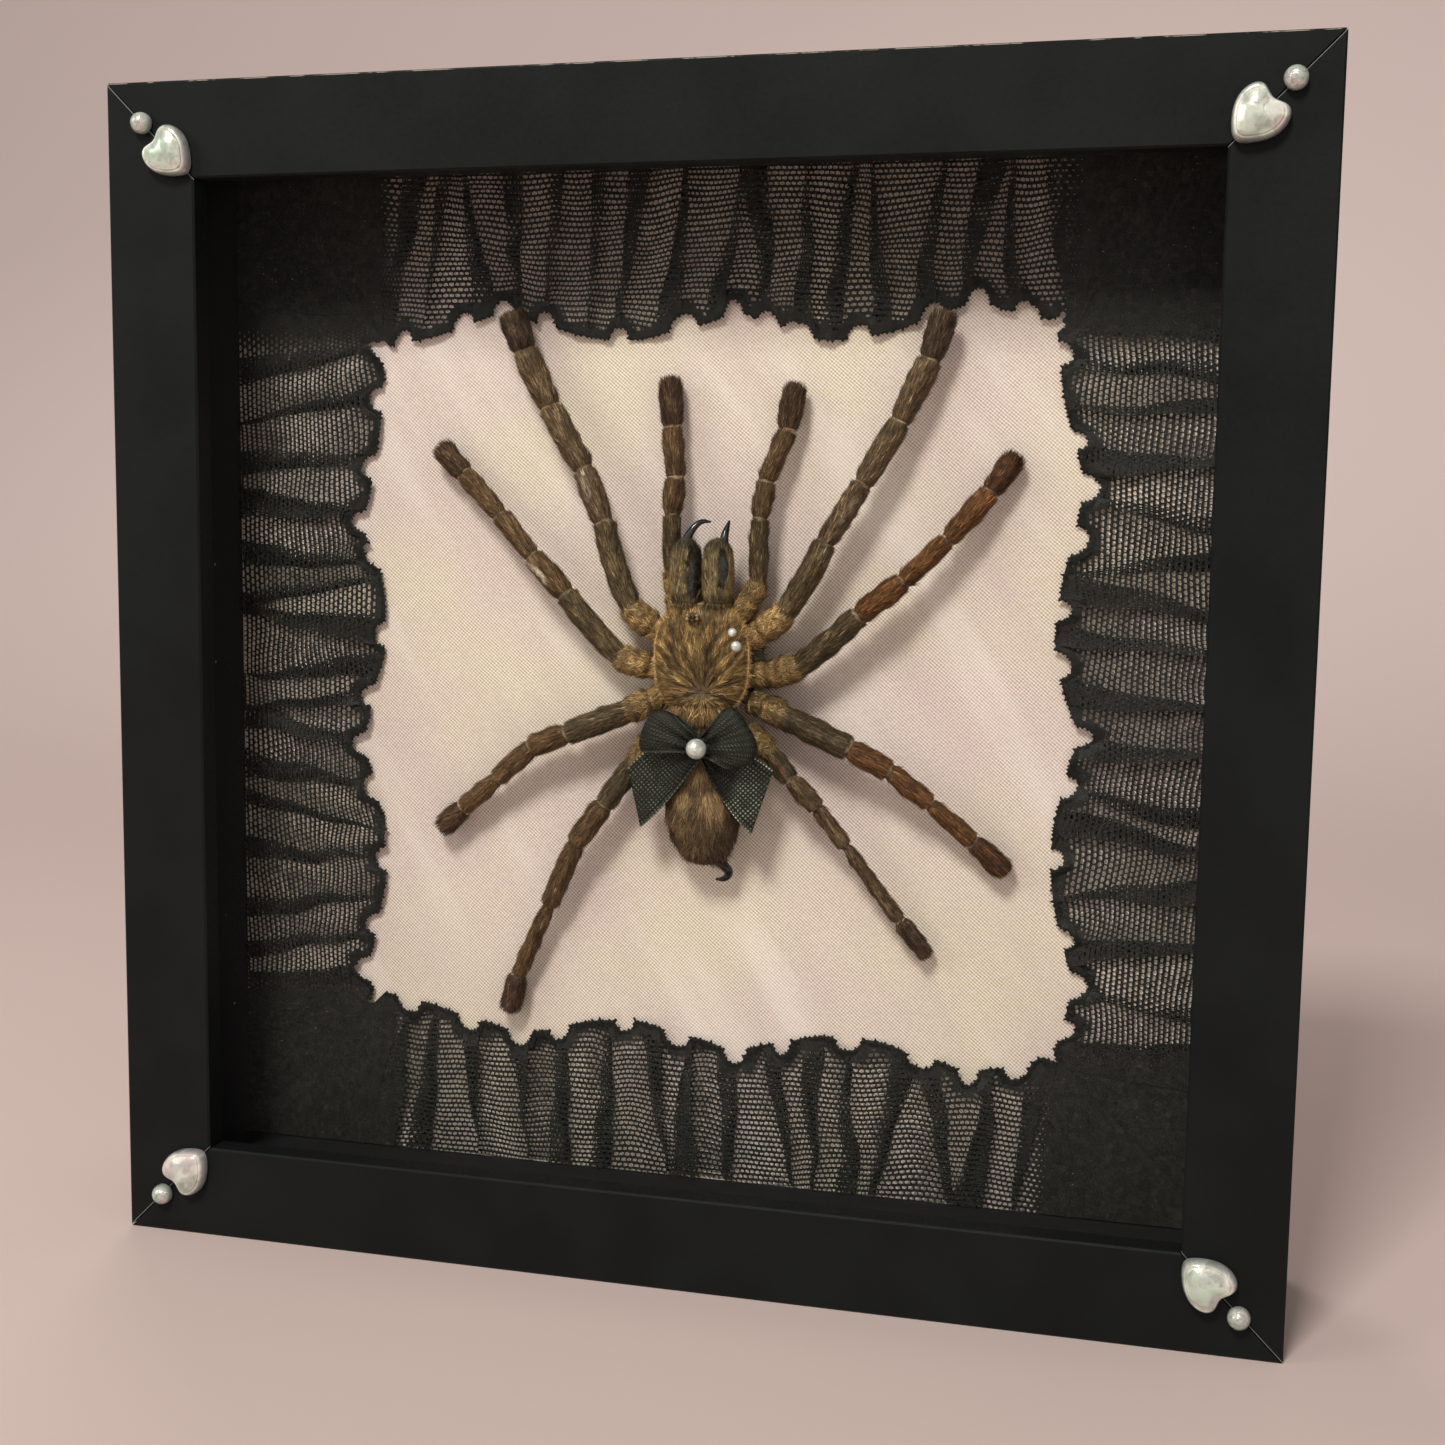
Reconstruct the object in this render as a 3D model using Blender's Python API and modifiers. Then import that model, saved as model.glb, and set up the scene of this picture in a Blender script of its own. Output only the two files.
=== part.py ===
"""A dried tarantula in a square shadow-box frame, with lace, a ribbon bow and pearl trim.

Lengths are in millimetres in the constants and helpers, and become metres where a mesh is made.
Every piece hangs from one empty at the centre of the frame's front face: +X is right, +Y goes
back into the frame and +Z is up. Heights inside the frame are counted from the satin forwards.
"""

import math

import bmesh
import bpy
from mathutils import Matrix, Vector

MM = 0.001
GAP = 0.3  # clearance between pieces that touch
TOUCH = 0.15  # half of that clearance, kept by each side

# Frame
FRAME_SIDE = 250.0
FRAME_DEPTH = 45.0
FACE_WIDTH = 20.0
WALL = 11.5  # thickness of a rail behind its lip
LIP_DEPTH = 5.5
CHAMFER = 0.4  # on the long outer edges of a rail
HALF = FRAME_SIDE / 2

# What the frame holds, front to back
GLASS_THICKNESS = 2.0
SATIN_DEPTH = 30.0  # from the frame's face to the front of the satin
SATIN_THICKNESS = 0.5
BOARD_THICKNESS = 3.0
SPACER_THICKNESS = 2.2
REBATE_HALF = HALF - WALL
PANEL_SIDE = 2 * (REBATE_HALF - GAP)
SPACER_INNER = REBATE_HALF - GAP - SPACER_THICKNESS
GLASS_FRONT = LIP_DEPTH + GAP
SPACER_FRONT = GLASS_FRONT + GLASS_THICKNESS + GAP
SATIN_BACK = SATIN_DEPTH + SATIN_THICKNESS
BOARD_FRONT = SATIN_BACK + GAP
BOARD_BACK = BOARD_FRONT + BOARD_THICKNESS

# Fastenings on the back
TAB_WIDTH = 8.0
TAB_THICKNESS = 0.5
TAB_REACH = 10.0
TAB_ROOT = 3.5
TAB_SPREAD = 62.0
HANGER_LENGTH = 44.0
HANGER_WIDTH = 7.4
HANGER_THICKNESS = 1.0
HANGER_INWARD = 5.6  # from the rail's outer edge to the middle of the plate
HANGER_POCKET = 2.6
HANGER_SLOT_HALF = 13.5
HANGER_SLOT_LOW = -1.9
HANGER_SLOT_HIGH = 0.4
HANGER_TOOTH = 0.9
HANGER_TEETH = 7
SCREW_SPREAD = 18.5
SCREW_HEAD = 2.3
SCREW_DOME = 0.9
SCREW_SHANK = 1.0
SCREW_LENGTH = 8.0
SCREW_POINT = 1.0
ARC_STEPS = 6  # of a half circle in an outline

# Trim on the face, from the frame's centre to each piece along both axes
CORNER_PEARL_AT = 116.4
CORNER_PEARL_DIAMETER = 4.7
CORNER_PEARL_RISE = 2.9
HEART_AT = 110.2
HEART_WIDTH = 10.8
HEART_LENGTH = 10.4
HEART_RISE = 4.0
HEART_SHARPNESS = 0.62  # 1 is the classic heart curve, 0 an oval
HEART_CURVE_LENGTH = 26.2  # of the curve before it is scaled
HEART_CURVE_MIDDLE = -3.3
HEART_RISES = (  # share of the outline, height above the glued back
    (1.0, 0.0), (1.0, 0.9), (0.93, 2.1), (0.74, 3.2), (0.4, 3.85), (0.0, HEART_RISE),
)
HEART_SEGMENTS = 18
PEARL_SEGMENTS = 10
CORNER_PEARL_EDGE = 0.5  # height of the upright edge below the dome
CORNER_PEARL_RINGS = 4

# Gathered lace: the outer edge, and the notches of its scalloped edge as (along, out) from the centre
LACE_OUTER = SPACER_INNER - GAP
LACE_LOW = 1.1
LACE_HIGH = 2.5
LACE_THICKNESS = 0.6
SCALLOP_STEPS = 5
SCALLOP_SHARE = 0.3
SCALLOP_MOST = 3.4
CORNER_SLOPE = 0.8  # a lobe next to a corner stays on its own side of the mitre
LACE_CORNERS = {
    "top_left": (-78.7, 72.8),
    "top_right": (73.4, 77.6),
    "bottom_right": (77.6, -77.2),
    "bottom_left": (-79.4, -76.6),
}
LACE_NOTCHES = {
    "top": (
        (-70.3, 75.8), (-56.1, 79.4), (-46.7, 82.1), (-36.8, 79.4), (-20.2, 75.8), (-6.0, 78.6),
        (5.0, 81.6), (12.6, 79.0), (19.2, 76.6), (32.0, 76.0), (47.2, 80.4), (56.6, 83.4), (66.6, 80.4),
    ),
    "right": (
        (-70.3, 81.2), (-60.5, 83.6), (-50.7, 80.4), (-34.0, 77.7), (-18.8, 79.9), (-8.0, 83.0),
        (6.7, 77.8), (17.9, 77.6), (32.2, 80.5), (43.0, 82.6), (52.6, 79.6), (70.1, 76.2),
    ),
    "bottom": (
        (-69.6, 78.2), (-55.1, 81.4), (-42.7, 84.2), (-33.1, 81.8), (-17.8, 78.6), (-5.6, 81.0),
        (7.7, 84.0), (18.3, 80.8), (32.9, 78.4), (48.7, 81.2), (59.1, 84.0), (69.5, 81.8),
    ),
    "left": (
        (-69.0, 83.2), (-58.2, 80.4), (-43.1, 77.8), (-26.6, 80.4), (-16.8, 83.6), (-5.7, 81.3),
        (8.3, 77.6), (26.1, 79.8), (33.6, 83.4), (46.0, 80.6), (60.8, 78.4),
    ),
}

# Spider. A place is (right, up, height above the satin).
BODY_MIDDLE = (1.45, 6.0)
CARAPACE_HALF = (10.65, 11.8)
FOVEA = (2.0, -1.2)
CARAPACE_RINGS = (  # half width, height, share of the way from the fovea to the body's middle
    (4.6, 2.2, 1.0),
    (7.2, 4.0, 1.0),
    (7.6, 6.8, 1.0),
    (9.6, 8.1, 1.0),
    (10.65, 8.9, 1.0),
    (10.2, 10.6, 0.95),
    (8.3, 12.2, 0.8),
    (5.4, 13.0, 0.5),
    (2.2, 12.9, 0.15),
)
CARAPACE_FOOT = 2.0
FOVEA_HEIGHT = 12.2
CARAPACE_SEGMENTS = 24
CARAPACE_SQUARENESS = 2.7
GROOVE_DEPTH = 0.35
GROOVED_RINGS = 3  # of the rings nearest the fovea
EYE_MOUND = (0.0, 14.9, 12.6)
EYE_MOUND_HALF = (1.7, 1.2, 1.1)
ABDOMEN_RIGHT = 1.4
ABDOMEN_HEIGHT = 7.2
ABDOMEN_RINGS = (  # distance along the body from its waist end, half width
    (1.5, 3.6),
    (5.0, 5.8),
    (10.0, 7.6),
    (16.0, 8.7),
    (22.0, 8.6),
    (27.0, 7.0),
    (30.5, 4.4),
)
ABDOMEN_START = -6.6
ABDOMEN_LENGTH = 32.0
ABDOMEN_FLATNESS = 0.68
SPINNERET = (
    (4.2, -36.2, 7.0, 1.3),
    (5.6, -38.6, 6.0, 1.2),
    (6.7, -40.4, 5.0, 1.0),
    (5.6, -41.9, 4.4, 0.8),
    (3.6, -42.3, 4.0, 0.35),
)
CHELICERA_START = 17.95
CHELICERA_RINGS = ((0.15, 0.88), (3.5, 1.0), (8.0, 1.0), (11.0, 0.86), (12.6, 0.52))
CHELICERA_LENGTH = 13.2
CHELICERA_HALF = (3.5, 3.8)
CHELICERA_HEIGHT = 8.7
CHELICERA_AT = {"left": -2.75, "right": 4.65}
CHELICERA_SQUARENESS = 2.4
FANGS = {  # each point ends with the radius there
    "left": (
        (-2.5, 29.6, 9.0, 1.1), (-2.3, 31.6, 8.8, 0.95), (-1.2, 33.6, 8.4, 0.75),
        (0.3, 34.9, 7.6, 0.55), (2.1, 34.9, 6.9, 0.22),
    ),
    "right": (
        (5.6, 29.6, 9.0, 1.1), (5.6, 31.6, 8.8, 0.9), (5.9, 33.4, 8.2, 0.65), (6.3, 35.2, 7.4, 0.22),
    ),
}

# Joints of each limb from the tip to the body, and the radius of each segment in that order.
LIMBS = {
    "leg_left_1": (
        ((-43.2, 78.8, 6.0), (-40.6, 71.0, 4.8), (-34.4, 58.7, 5.5), (-26.2, 45.6, 6.8),
         (-21.5, 34.5, 7.4), (-15.4, 15.9, 6.6), (-10.7, 12.0, 5.0), (-7.4, 10.2, 4.5)),
        (3.35, 3.15, 2.9, 2.85, 2.85, 3.1, 2.8),
    ),
    "leg_left_2": (
        ((-60.5, 50.1, 3.4), (-54.7, 44.3, 4.0), (-45.7, 35.5, 5.5), (-37.7, 26.7, 7.0),
         (-29.9, 18.8, 7.5), (-17.5, 5.4, 6.6), (-11.2, 3.4, 5.0), (-7.2, 3.2, 4.5)),
        (2.8, 2.45, 2.4, 2.75, 2.8, 3.0, 2.65),
    ),
    "leg_left_3": (
        ((-60.6, -34.6, 3.2), (-54.9, -29.6, 4.0), (-46.4, -22.3, 5.5), (-37.8, -14.8, 7.0),
         (-29.5, -11.4, 7.5), (-15.6, -6.0, 6.6), (-11.0, -3.6, 5.0), (-7.4, -2.6, 4.5)),
        (2.7, 2.4, 2.5, 2.75, 3.0, 2.9, 2.6),
    ),
    "leg_left_4": (
        ((-44.3, -75.2, 3.2), (-42.1, -67.0, 3.8), (-34.4, -50.3, 5.0), (-27.7, -35.6, 6.5),
         (-21.1, -26.7, 7.0), (-14.3, -17.3, 6.2), (-10.8, -11.6, 5.0), (-7.8, -8.7, 4.5)),
        (2.75, 2.15, 2.45, 2.8, 2.75, 2.6, 2.3),
    ),
    "leg_right_1": (
        ((50.4, 78.2, 5.4), (47.7, 68.6, 5.2), (41.8, 55.9, 6.5), (34.6, 43.2, 7.8),
         (27.1, 31.0, 8.2), (18.2, 15.8, 6.8), (13.2, 11.8, 5.0), (10.2, 10.2, 4.5)),
        (3.1, 3.05, 2.75, 2.7, 2.8, 3.1, 2.8),
    ),
    "leg_right_2": (
        ((65.6, 49.3, 3.2), (60.6, 41.9, 4.5), (52.3, 31.9, 6.5), (43.5, 23.3, 8.0),
         (34.5, 16.0, 8.5), (21.5, 4.6, 7.0), (14.4, 2.6, 5.0), (10.4, 2.6, 4.5)),
        (2.7, 2.65, 2.35, 2.7, 2.85, 3.0, 2.65),
    ),
    "leg_right_3": (
        ((65.9, -36.9, 3.1), (59.1, -30.7, 4.5), (50.0, -22.8, 6.5), (41.6, -16.2, 8.0),
         (33.1, -11.9, 8.5), (18.6, -5.8, 7.0), (13.8, -3.8, 5.0), (10.4, -3.0, 4.5)),
        (2.65, 2.2, 2.4, 2.7, 3.0, 2.9, 2.6),
    ),
    "leg_right_4": (
        ((49.8, -56.0, 2.6), (43.9, -48.6, 4.0), (32.3, -32.9, 6.0), (26.3, -24.8, 7.5),
         (20.6, -19.0, 8.0), (15.8, -13.8, 6.8), (12.4, -10.9, 5.2), (10.0, -9.1, 4.6)),
        (2.15, 1.75, 1.9, 2.3, 2.35, 2.3, 2.2),
    ),
    "palp_left": (
        ((-8.2, 65.0, 3.4), (-7.3, 54.8, 4.2), (-6.2, 44.0, 5.4), (-6.8, 36.2, 5.8),
         (-7.6, 24.0, 4.5), (-8.4, 17.4, 4.2)),
        (2.85, 2.5, 2.5, 2.3, 2.1),
    ),
    "palp_right": (
        ((19.2, 63.7, 3.4), (17.8, 54.2, 4.4), (13.7, 43.5, 5.8), (12.6, 35.7, 6.4),
         (12.2, 21.8, 5.2), (9.8, 17.4, 4.4)),
        (2.85, 2.4, 2.4, 2.3, 2.1),
    ),
}
FEMUR = 4  # place of the femur among the segments of a leg
FEMUR_BOWS = {  # how far the middle of a femur stands to the right and up from a straight one
    "leg_left_1": (-0.5, -0.2),
    "leg_left_2": (-0.4, -0.4),
    "leg_right_1": (0.4, -0.2),
    "leg_right_2": (0.2, -0.2),
}
JOINT_WAIST = 0.84  # radius at a joint, as a share of the thinner segment
JOINT_LENGTH = 1.1
TIP_ROUNDING = ((0.0, 0.45), (0.35, 0.85), (1.0, 1.0))  # distance from the tip and radius, as shares

# Ribbon bow: the knot, and the two far corners of each loop and tail
KNOT = (2.8, -12.0, 15.2)
KNOT_HALF = (2.5, 2.7, 1.7)
RIBBON_THICKNESS = 0.5
KNOT_RIBBON_HALF = 1.5
LOOPS = {
    "left": ((-7.7, -4.9), (-10.0, -13.4), 0.9),
    "right": ((9.2, -3.2), (12.4, -17.0), 4.4),
}
LOOP_HALF_HEIGHT = 1.5
LOOP_PINCH = 0.35  # height of the loop at the knot, as a share of its full height
TAILS = {
    "left": ((-14.3, -17.8), (-11.8, -30.7)),
    "right": ((17.3, -16.9), (13.1, -30.6)),
}
TAIL_START = 1.0  # below the middle of the knot
TAIL_PINCH = 0.16  # how far a tail has opened where it leaves the knot
TAIL_DROP = 2.8
BOW_PEARL_DIAMETER = 4.3
HEAD_PEARLS = {
    "head_pearl_upper": (8.8, 12.1, 1.9),
    "head_pearl_lower": (9.7, 9.2, 2.3),
}
HEAD_PEARL_BASE = 12.7
PEARL_RINGS = 5
PEARL_FLAT = math.radians(-55)  # latitude where the glued flat begins

# Box of the whole object: the hearts stand out in front of the face
FRONT_RISE = HEART_RISE + GAP
FACE_Y = (FRONT_RISE - FRAME_DEPTH) / 2

COLOURS = {  # base colour, roughness, metallic
    "frame_black": ((0.014, 0.016, 0.014), 0.55, 0.0),
    "clear_glass": ((0.90, 0.94, 0.92), 0.05, 0.0),
    "spacer_black": ((0.015, 0.015, 0.015), 0.8, 0.0),
    "satin_pink": ((0.72, 0.57, 0.50), 0.45, 0.0),
    "board_brown": ((0.30, 0.20, 0.12), 0.85, 0.0),
    "tab_steel": ((0.55, 0.55, 0.53), 0.35, 1.0),
    "brass_plated": ((0.60, 0.47, 0.22), 0.35, 1.0),
    "nacre": ((0.80, 0.79, 0.74), 0.18, 0.0),
    "lace_black": ((0.018, 0.022, 0.018), 0.8, 0.0),
    "carapace_brown": ((0.21, 0.13, 0.055), 0.7, 0.0),
    "abdomen_brown": ((0.13, 0.085, 0.045), 0.85, 0.0),
    "limb_brown": ((0.075, 0.052, 0.028), 0.8, 0.0),
    "chelicera_brown": ((0.06, 0.05, 0.03), 0.7, 0.0),
    "ribbon_green": ((0.012, 0.020, 0.016), 0.4, 0.0),
}


def clear_scene():
    for obj in list(bpy.data.objects):
        bpy.data.objects.remove(obj, do_unlink=True)


def make_collection(name):
    collection = bpy.data.collections.new(name)
    bpy.context.scene.collection.children.link(collection)
    return collection


def make_materials():
    materials = {}
    for name, (colour, roughness, metallic) in COLOURS.items():
        material = bpy.data.materials.new(name)
        material.use_nodes = True
        shader = material.node_tree.nodes["Principled BSDF"]
        shader.inputs["Base Color"].default_value = (*colour, 1.0)
        shader.inputs["Roughness"].default_value = roughness
        shader.inputs["Metallic"].default_value = metallic
        materials[name] = material
    return materials


def add_empty(collection):
    """The empty at the centre of the frame's front face that every piece hangs from."""
    empty = bpy.data.objects.new("front_centre", None)
    empty.location = (0.0, FACE_Y * MM, HALF * MM)
    collection.objects.link(empty)
    return empty


def adopt(obj, kind, smooth=True):
    """Moves an object into the specimen's collection, under the empty, with its own material."""
    for collection in list(obj.users_collection):
        collection.objects.unlink(obj)
    PARTS.objects.link(obj)
    obj.parent = CENTRE
    obj.data.materials.clear()
    own = MATERIALS[kind].copy()
    own.name = f"{obj.name}_{kind}"
    obj.data.materials.append(own)
    if smooth and obj.type == "MESH":
        obj.data.shade_smooth()
        obj.data.set_sharp_from_angle(angle=math.radians(40))
    return obj


def make_cutter(obj):
    """Moves an object to the cutters, which show as wire and aren't part of the specimen."""
    for collection in list(obj.users_collection):
        collection.objects.unlink(obj)
    CUTTERS.objects.link(obj)
    obj.parent = CENTRE
    obj.hide_render = True
    obj.display_type = "WIRE"
    return obj


def object_from(name, bm):
    mesh = bpy.data.meshes.new(name)
    bmesh.ops.recalc_face_normals(bm, faces=bm.faces)
    if bm.calc_volume(signed=True) < 0:
        bmesh.ops.reverse_faces(bm, faces=bm.faces)
    bm.to_mesh(mesh)
    bm.free()
    obj = bpy.data.objects.new(name, mesh)
    bpy.context.scene.collection.objects.link(obj)
    return obj


def box(name, size, middle):
    """A box with its size and middle in millimetres, in the empty's frame."""
    bpy.ops.mesh.primitive_cube_add(size=1.0, location=(0, 0, 0))
    obj = bpy.context.object
    obj.name = name
    obj.data.name = name
    obj.data.transform(Matrix.Diagonal((*(side * MM for side in size), 1.0)))
    obj.location = Vector(middle) * MM
    return obj


def rod(name, radius, length, middle, sides=12):
    """A cylinder along the depth axis, in millimetres."""
    bpy.ops.mesh.primitive_cylinder_add(vertices=sides, radius=radius * MM, depth=length * MM)
    obj = bpy.context.object
    obj.name = name
    obj.data.name = name
    obj.data.transform(Matrix.Rotation(math.pi / 2, 4, "X"))
    obj.location = Vector(middle) * MM
    return obj


def flat_plate(name, outlines, thickness):
    """A 2D outline, with any holes in it, extruded to a thickness and made a mesh."""
    curve = bpy.data.curves.new(name, "CURVE")
    curve.dimensions = "2D"
    curve.fill_mode = "BOTH"
    curve.extrude = thickness / 2 * MM
    for outline in outlines:
        spline = curve.splines.new("POLY")
        spline.points.add(len(outline) - 1)
        for point, (x, y) in zip(spline.points, outline):
            point.co = (x * MM, y * MM, 0.0, 1.0)
        spline.use_cyclic_u = True
    return made_mesh(bpy.data.objects.new(name, curve))


def made_mesh(curve_object):
    """Replaces a curve object by the mesh of its evaluated shape, with its caps welded on."""
    name = curve_object.name
    bpy.context.scene.collection.objects.link(curve_object)
    bpy.context.view_layer.update()
    evaluated = curve_object.evaluated_get(bpy.context.evaluated_depsgraph_get())
    mesh = bpy.data.meshes.new_from_object(evaluated)
    mesh.name = name
    bm = bmesh.new()
    bm.from_mesh(mesh)
    bmesh.ops.remove_doubles(bm, verts=bm.verts, dist=1e-6)
    bmesh.ops.recalc_face_normals(bm, faces=bm.faces)
    bm.to_mesh(mesh)
    bm.free()
    mesh.shade_flat()
    placed = bpy.data.objects.new(name, mesh)
    placed.matrix_world = curve_object.matrix_world
    bpy.data.objects.remove(curve_object, do_unlink=True)
    placed.name = name
    bpy.context.scene.collection.objects.link(placed)
    return placed


def inside(place):
    """A place given as (right, up, height above the satin), in the empty's frame in metres."""
    right, up, height = place
    return Vector((right, SATIN_DEPTH - height, up)) * MM


def tube(name, path):
    """A tapered tube with closed ends through points (right, up, height, radius)."""
    curve = bpy.data.curves.new(name, "CURVE")
    curve.dimensions = "3D"
    curve.bevel_depth = MM
    curve.bevel_resolution = 2
    curve.use_fill_caps = True
    spline = curve.splines.new("POLY")
    spline.points.add(len(path) - 1)
    for point, (right, up, height, radius) in zip(spline.points, path):
        point.co = (*inside((right, up, height)), 1.0)
        point.radius = radius
    return made_mesh(bpy.data.objects.new(name, curve))


def ring_body(name, rings, segments, place):
    """A closed body made of rings between two poles.

    A UV sphere gives the faces. Ring k of vertices, with its angle, goes to place(k, angle),
    where 0 is the first pole and len(rings) + 1 the last.
    """
    bm = bmesh.new()
    bmesh.ops.create_uvsphere(bm, u_segments=segments, v_segments=rings + 1, radius=1.0)
    for vert in bm.verts:
        polar = math.acos(max(-1.0, min(1.0, -vert.co.z)))
        index = round(polar / math.pi * (rings + 1))
        vert.co = place(index, math.atan2(vert.co.y, vert.co.x))
    return object_from(name, bm)


def ellipsoid(name, rings, segments, middle, half):
    """A closed ellipsoid around a place, with its half size to the right, up and forwards."""

    def place(index, angle):
        polar = math.pi * index / (rings + 1) - math.pi / 2
        ring = math.cos(polar)
        return inside((
            middle[0] + half[0] * ring * math.cos(angle),
            middle[1] + half[1] * ring * math.sin(angle),
            middle[2] + half[2] * math.sin(polar),
        ))

    return ring_body(name, rings, segments, place)


def boolean(obj, other, operation):
    """Adds a Boolean modifier that joins or cuts obj with other."""
    modifier = obj.modifiers.new(f"{operation.lower()}_{other.name}", "BOOLEAN")
    modifier.operation = operation
    modifier.object = other
    modifier.solver = "EXACT"


def join(obj, others):
    """Joins closed shapes into obj by Boolean unions, and removes the others."""
    for other in others:
        boolean(obj, other, "UNION")
    bpy.context.view_layer.update()
    evaluated = obj.evaluated_get(bpy.context.evaluated_depsgraph_get())
    mesh = bpy.data.meshes.new_from_object(evaluated)
    obj.modifiers.clear()
    mesh.name = obj.data.name
    obj.data = mesh
    for other in others:
        bpy.data.objects.remove(other, do_unlink=True)
    return obj


def superellipse(angle, power):
    """The unit outline point at an angle: power 2 is a circle, and more is squarer."""
    cosine = math.cos(angle)
    sine = math.sin(angle)
    size = (abs(cosine) ** power + abs(sine) ** power) ** (-1 / power)
    return cosine * size, sine * size


# Frame


def make_rail(name, turn):
    """A rail with its lip, mitred at both ends. It's made as the top one and turned."""
    section = (
        (0.0, CHAMFER),
        (CHAMFER, 0.0),
        (FACE_WIDTH - CHAMFER, 0.0),
        (FACE_WIDTH, CHAMFER),
        (FACE_WIDTH, LIP_DEPTH),
        (WALL, LIP_DEPTH),
        (WALL, FRAME_DEPTH),
        (CHAMFER, FRAME_DEPTH),
        (0.0, FRAME_DEPTH - CHAMFER),
    )
    rail = flat_plate(name, [section], FRAME_SIDE)
    mitre_clearance = TOUCH * math.sqrt(2)
    for vert in rail.data.vertices:
        inward, depth, along = vert.co
        half_length = HALF * MM - inward - mitre_clearance * MM
        vert.co = (math.copysign(half_length, along), depth, HALF * MM - inward)
    rail.data.flip_normals()
    rail.rotation_euler = (0.0, turn, 0.0)
    return adopt(rail, "frame_black", smooth=False)


def tab_outline():
    """A turn tab: straight sides and a round end."""
    half = TAB_WIDTH / 2
    straight = TAB_REACH - half
    outline = [(-half, -TAB_ROOT), (half, -TAB_ROOT)]
    for step in range(ARC_STEPS + 1):
        angle = step * math.pi / ARC_STEPS
        outline.append((half * math.cos(angle), straight + half * math.sin(angle)))
    return outline


def make_tab(name, rail, turn, along):
    """A tab whose root sits in a slot of its rail, and whose end lies behind the board."""
    middle_depth = BOARD_BACK + GAP + TAB_THICKNESS / 2
    wall_up = REBATE_HALF
    spin = Matrix.Rotation(turn, 4, "Y")
    slot_size = (TAB_WIDTH + 2 * GAP, TAB_THICKNESS + 2 * GAP, 2 * (TAB_ROOT + GAP))
    slot = box(f"{name}_slot", slot_size, (0, 0, 0))
    slot.matrix_local = spin @ Matrix.Translation(Vector((along, middle_depth, wall_up)) * MM)
    make_cutter(slot)
    boolean(rail, slot, "DIFFERENCE")
    tab = flat_plate(name, [tab_outline()], TAB_THICKNESS)
    lie_flat = Matrix.Rotation(-math.pi / 2, 4, "X")
    tab.data.transform(lie_flat)
    tab.matrix_local = spin @ Matrix.Translation(Vector((along, middle_depth, wall_up)) * MM)
    adopt(tab, "tab_steel")


def hanger_outlines():
    """The hanging plate: a rounded bar, a slot with a toothed upper edge, and two screw holes."""
    end = HANGER_WIDTH / 2
    reach = HANGER_LENGTH / 2 - end
    bar = []
    for side in (1, -1):
        for step in range(ARC_STEPS + 1):
            angle = -math.pi / 2 + step * math.pi / ARC_STEPS
            bar.append((side * (reach + end * math.cos(angle)), side * end * math.sin(angle)))
    pitch = 2 * HANGER_SLOT_HALF / HANGER_TEETH
    slot = [(HANGER_SLOT_HALF, HANGER_SLOT_LOW), (-HANGER_SLOT_HALF, HANGER_SLOT_LOW)]
    for index in range(HANGER_TEETH):
        left = -HANGER_SLOT_HALF + index * pitch
        slot.append((left, HANGER_SLOT_HIGH))
        slot.append((left + pitch / 2, HANGER_SLOT_HIGH + HANGER_TOOTH))
    slot.append((HANGER_SLOT_HALF, HANGER_SLOT_HIGH))
    hole_radius = SCREW_SHANK + GAP
    hole_sides = 8
    holes = []
    for side in (-1, 1):
        hole = []
        for step in range(hole_sides):
            angle = step * 2 * math.pi / hole_sides
            hole.append((side * SCREW_SPREAD + hole_radius * math.cos(angle), hole_radius * math.sin(angle)))
        holes.append(hole)
    return [bar, slot, *holes]


def make_screw(name, across, up, floor_depth):
    """A domed screw: a turned profile, head backwards, with its shank in the rail."""
    head_front = floor_depth + GAP + HANGER_THICKNESS + GAP
    profile = (  # radius, distance out of the rail
        (0.0, SCREW_DOME),
        (SCREW_HEAD * 0.6, SCREW_DOME * 0.8),
        (SCREW_HEAD, 0.0),
        (SCREW_SHANK, 0.0),
        (SCREW_SHANK, -SCREW_LENGTH),
        (0.0, -SCREW_LENGTH - SCREW_POINT),
    )
    bm = bmesh.new()
    verts = [bm.verts.new((radius * MM, 0.0, height * MM)) for radius, height in profile]
    for first, second in zip(verts, verts[1:]):
        bm.edges.new((first, second))
    screw = object_from(name, bm)
    turn = screw.modifiers.new("turned", "SCREW")
    turn.axis = "Z"
    turn.steps = 12
    turn.render_steps = 12
    turn.use_merge_vertices = True
    turn.merge_threshold = 0.00001
    screw.rotation_euler = (-math.pi / 2, 0.0, 0.0)
    screw.location = Vector((across, head_front, up)) * MM
    adopt(screw, "brass_plated")


def make_hanger(rail):
    """A toothed hanging plate sunk in the back of the top rail, with its two screws."""
    up = HALF - HANGER_INWARD
    floor_depth = FRAME_DEPTH - HANGER_POCKET
    pocket = box(
        "hanger_pocket",
        (HANGER_LENGTH + 2, 2 * HANGER_POCKET, HANGER_WIDTH + 1),
        (0, FRAME_DEPTH, up),
    )
    make_cutter(pocket)
    boolean(rail, pocket, "DIFFERENCE")
    for name, side in (("hanger_screw_left", -1), ("hanger_screw_right", 1)):
        across = side * SCREW_SPREAD
        bore_length = 2 * (SCREW_LENGTH + SCREW_POINT + GAP)
        bore = rod(f"{name}_bore", SCREW_SHANK + GAP, bore_length, (across, floor_depth, up))
        make_cutter(bore)
        boolean(rail, bore, "DIFFERENCE")
        make_screw(name, across, up, floor_depth)
    plate = flat_plate("hanging_plate", hanger_outlines(), HANGER_THICKNESS)
    plate.data.transform(Matrix.Rotation(math.pi / 2, 4, "X"))
    plate.location = Vector((0, floor_depth + GAP + HANGER_THICKNESS / 2, up)) * MM
    adopt(plate, "brass_plated")


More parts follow.
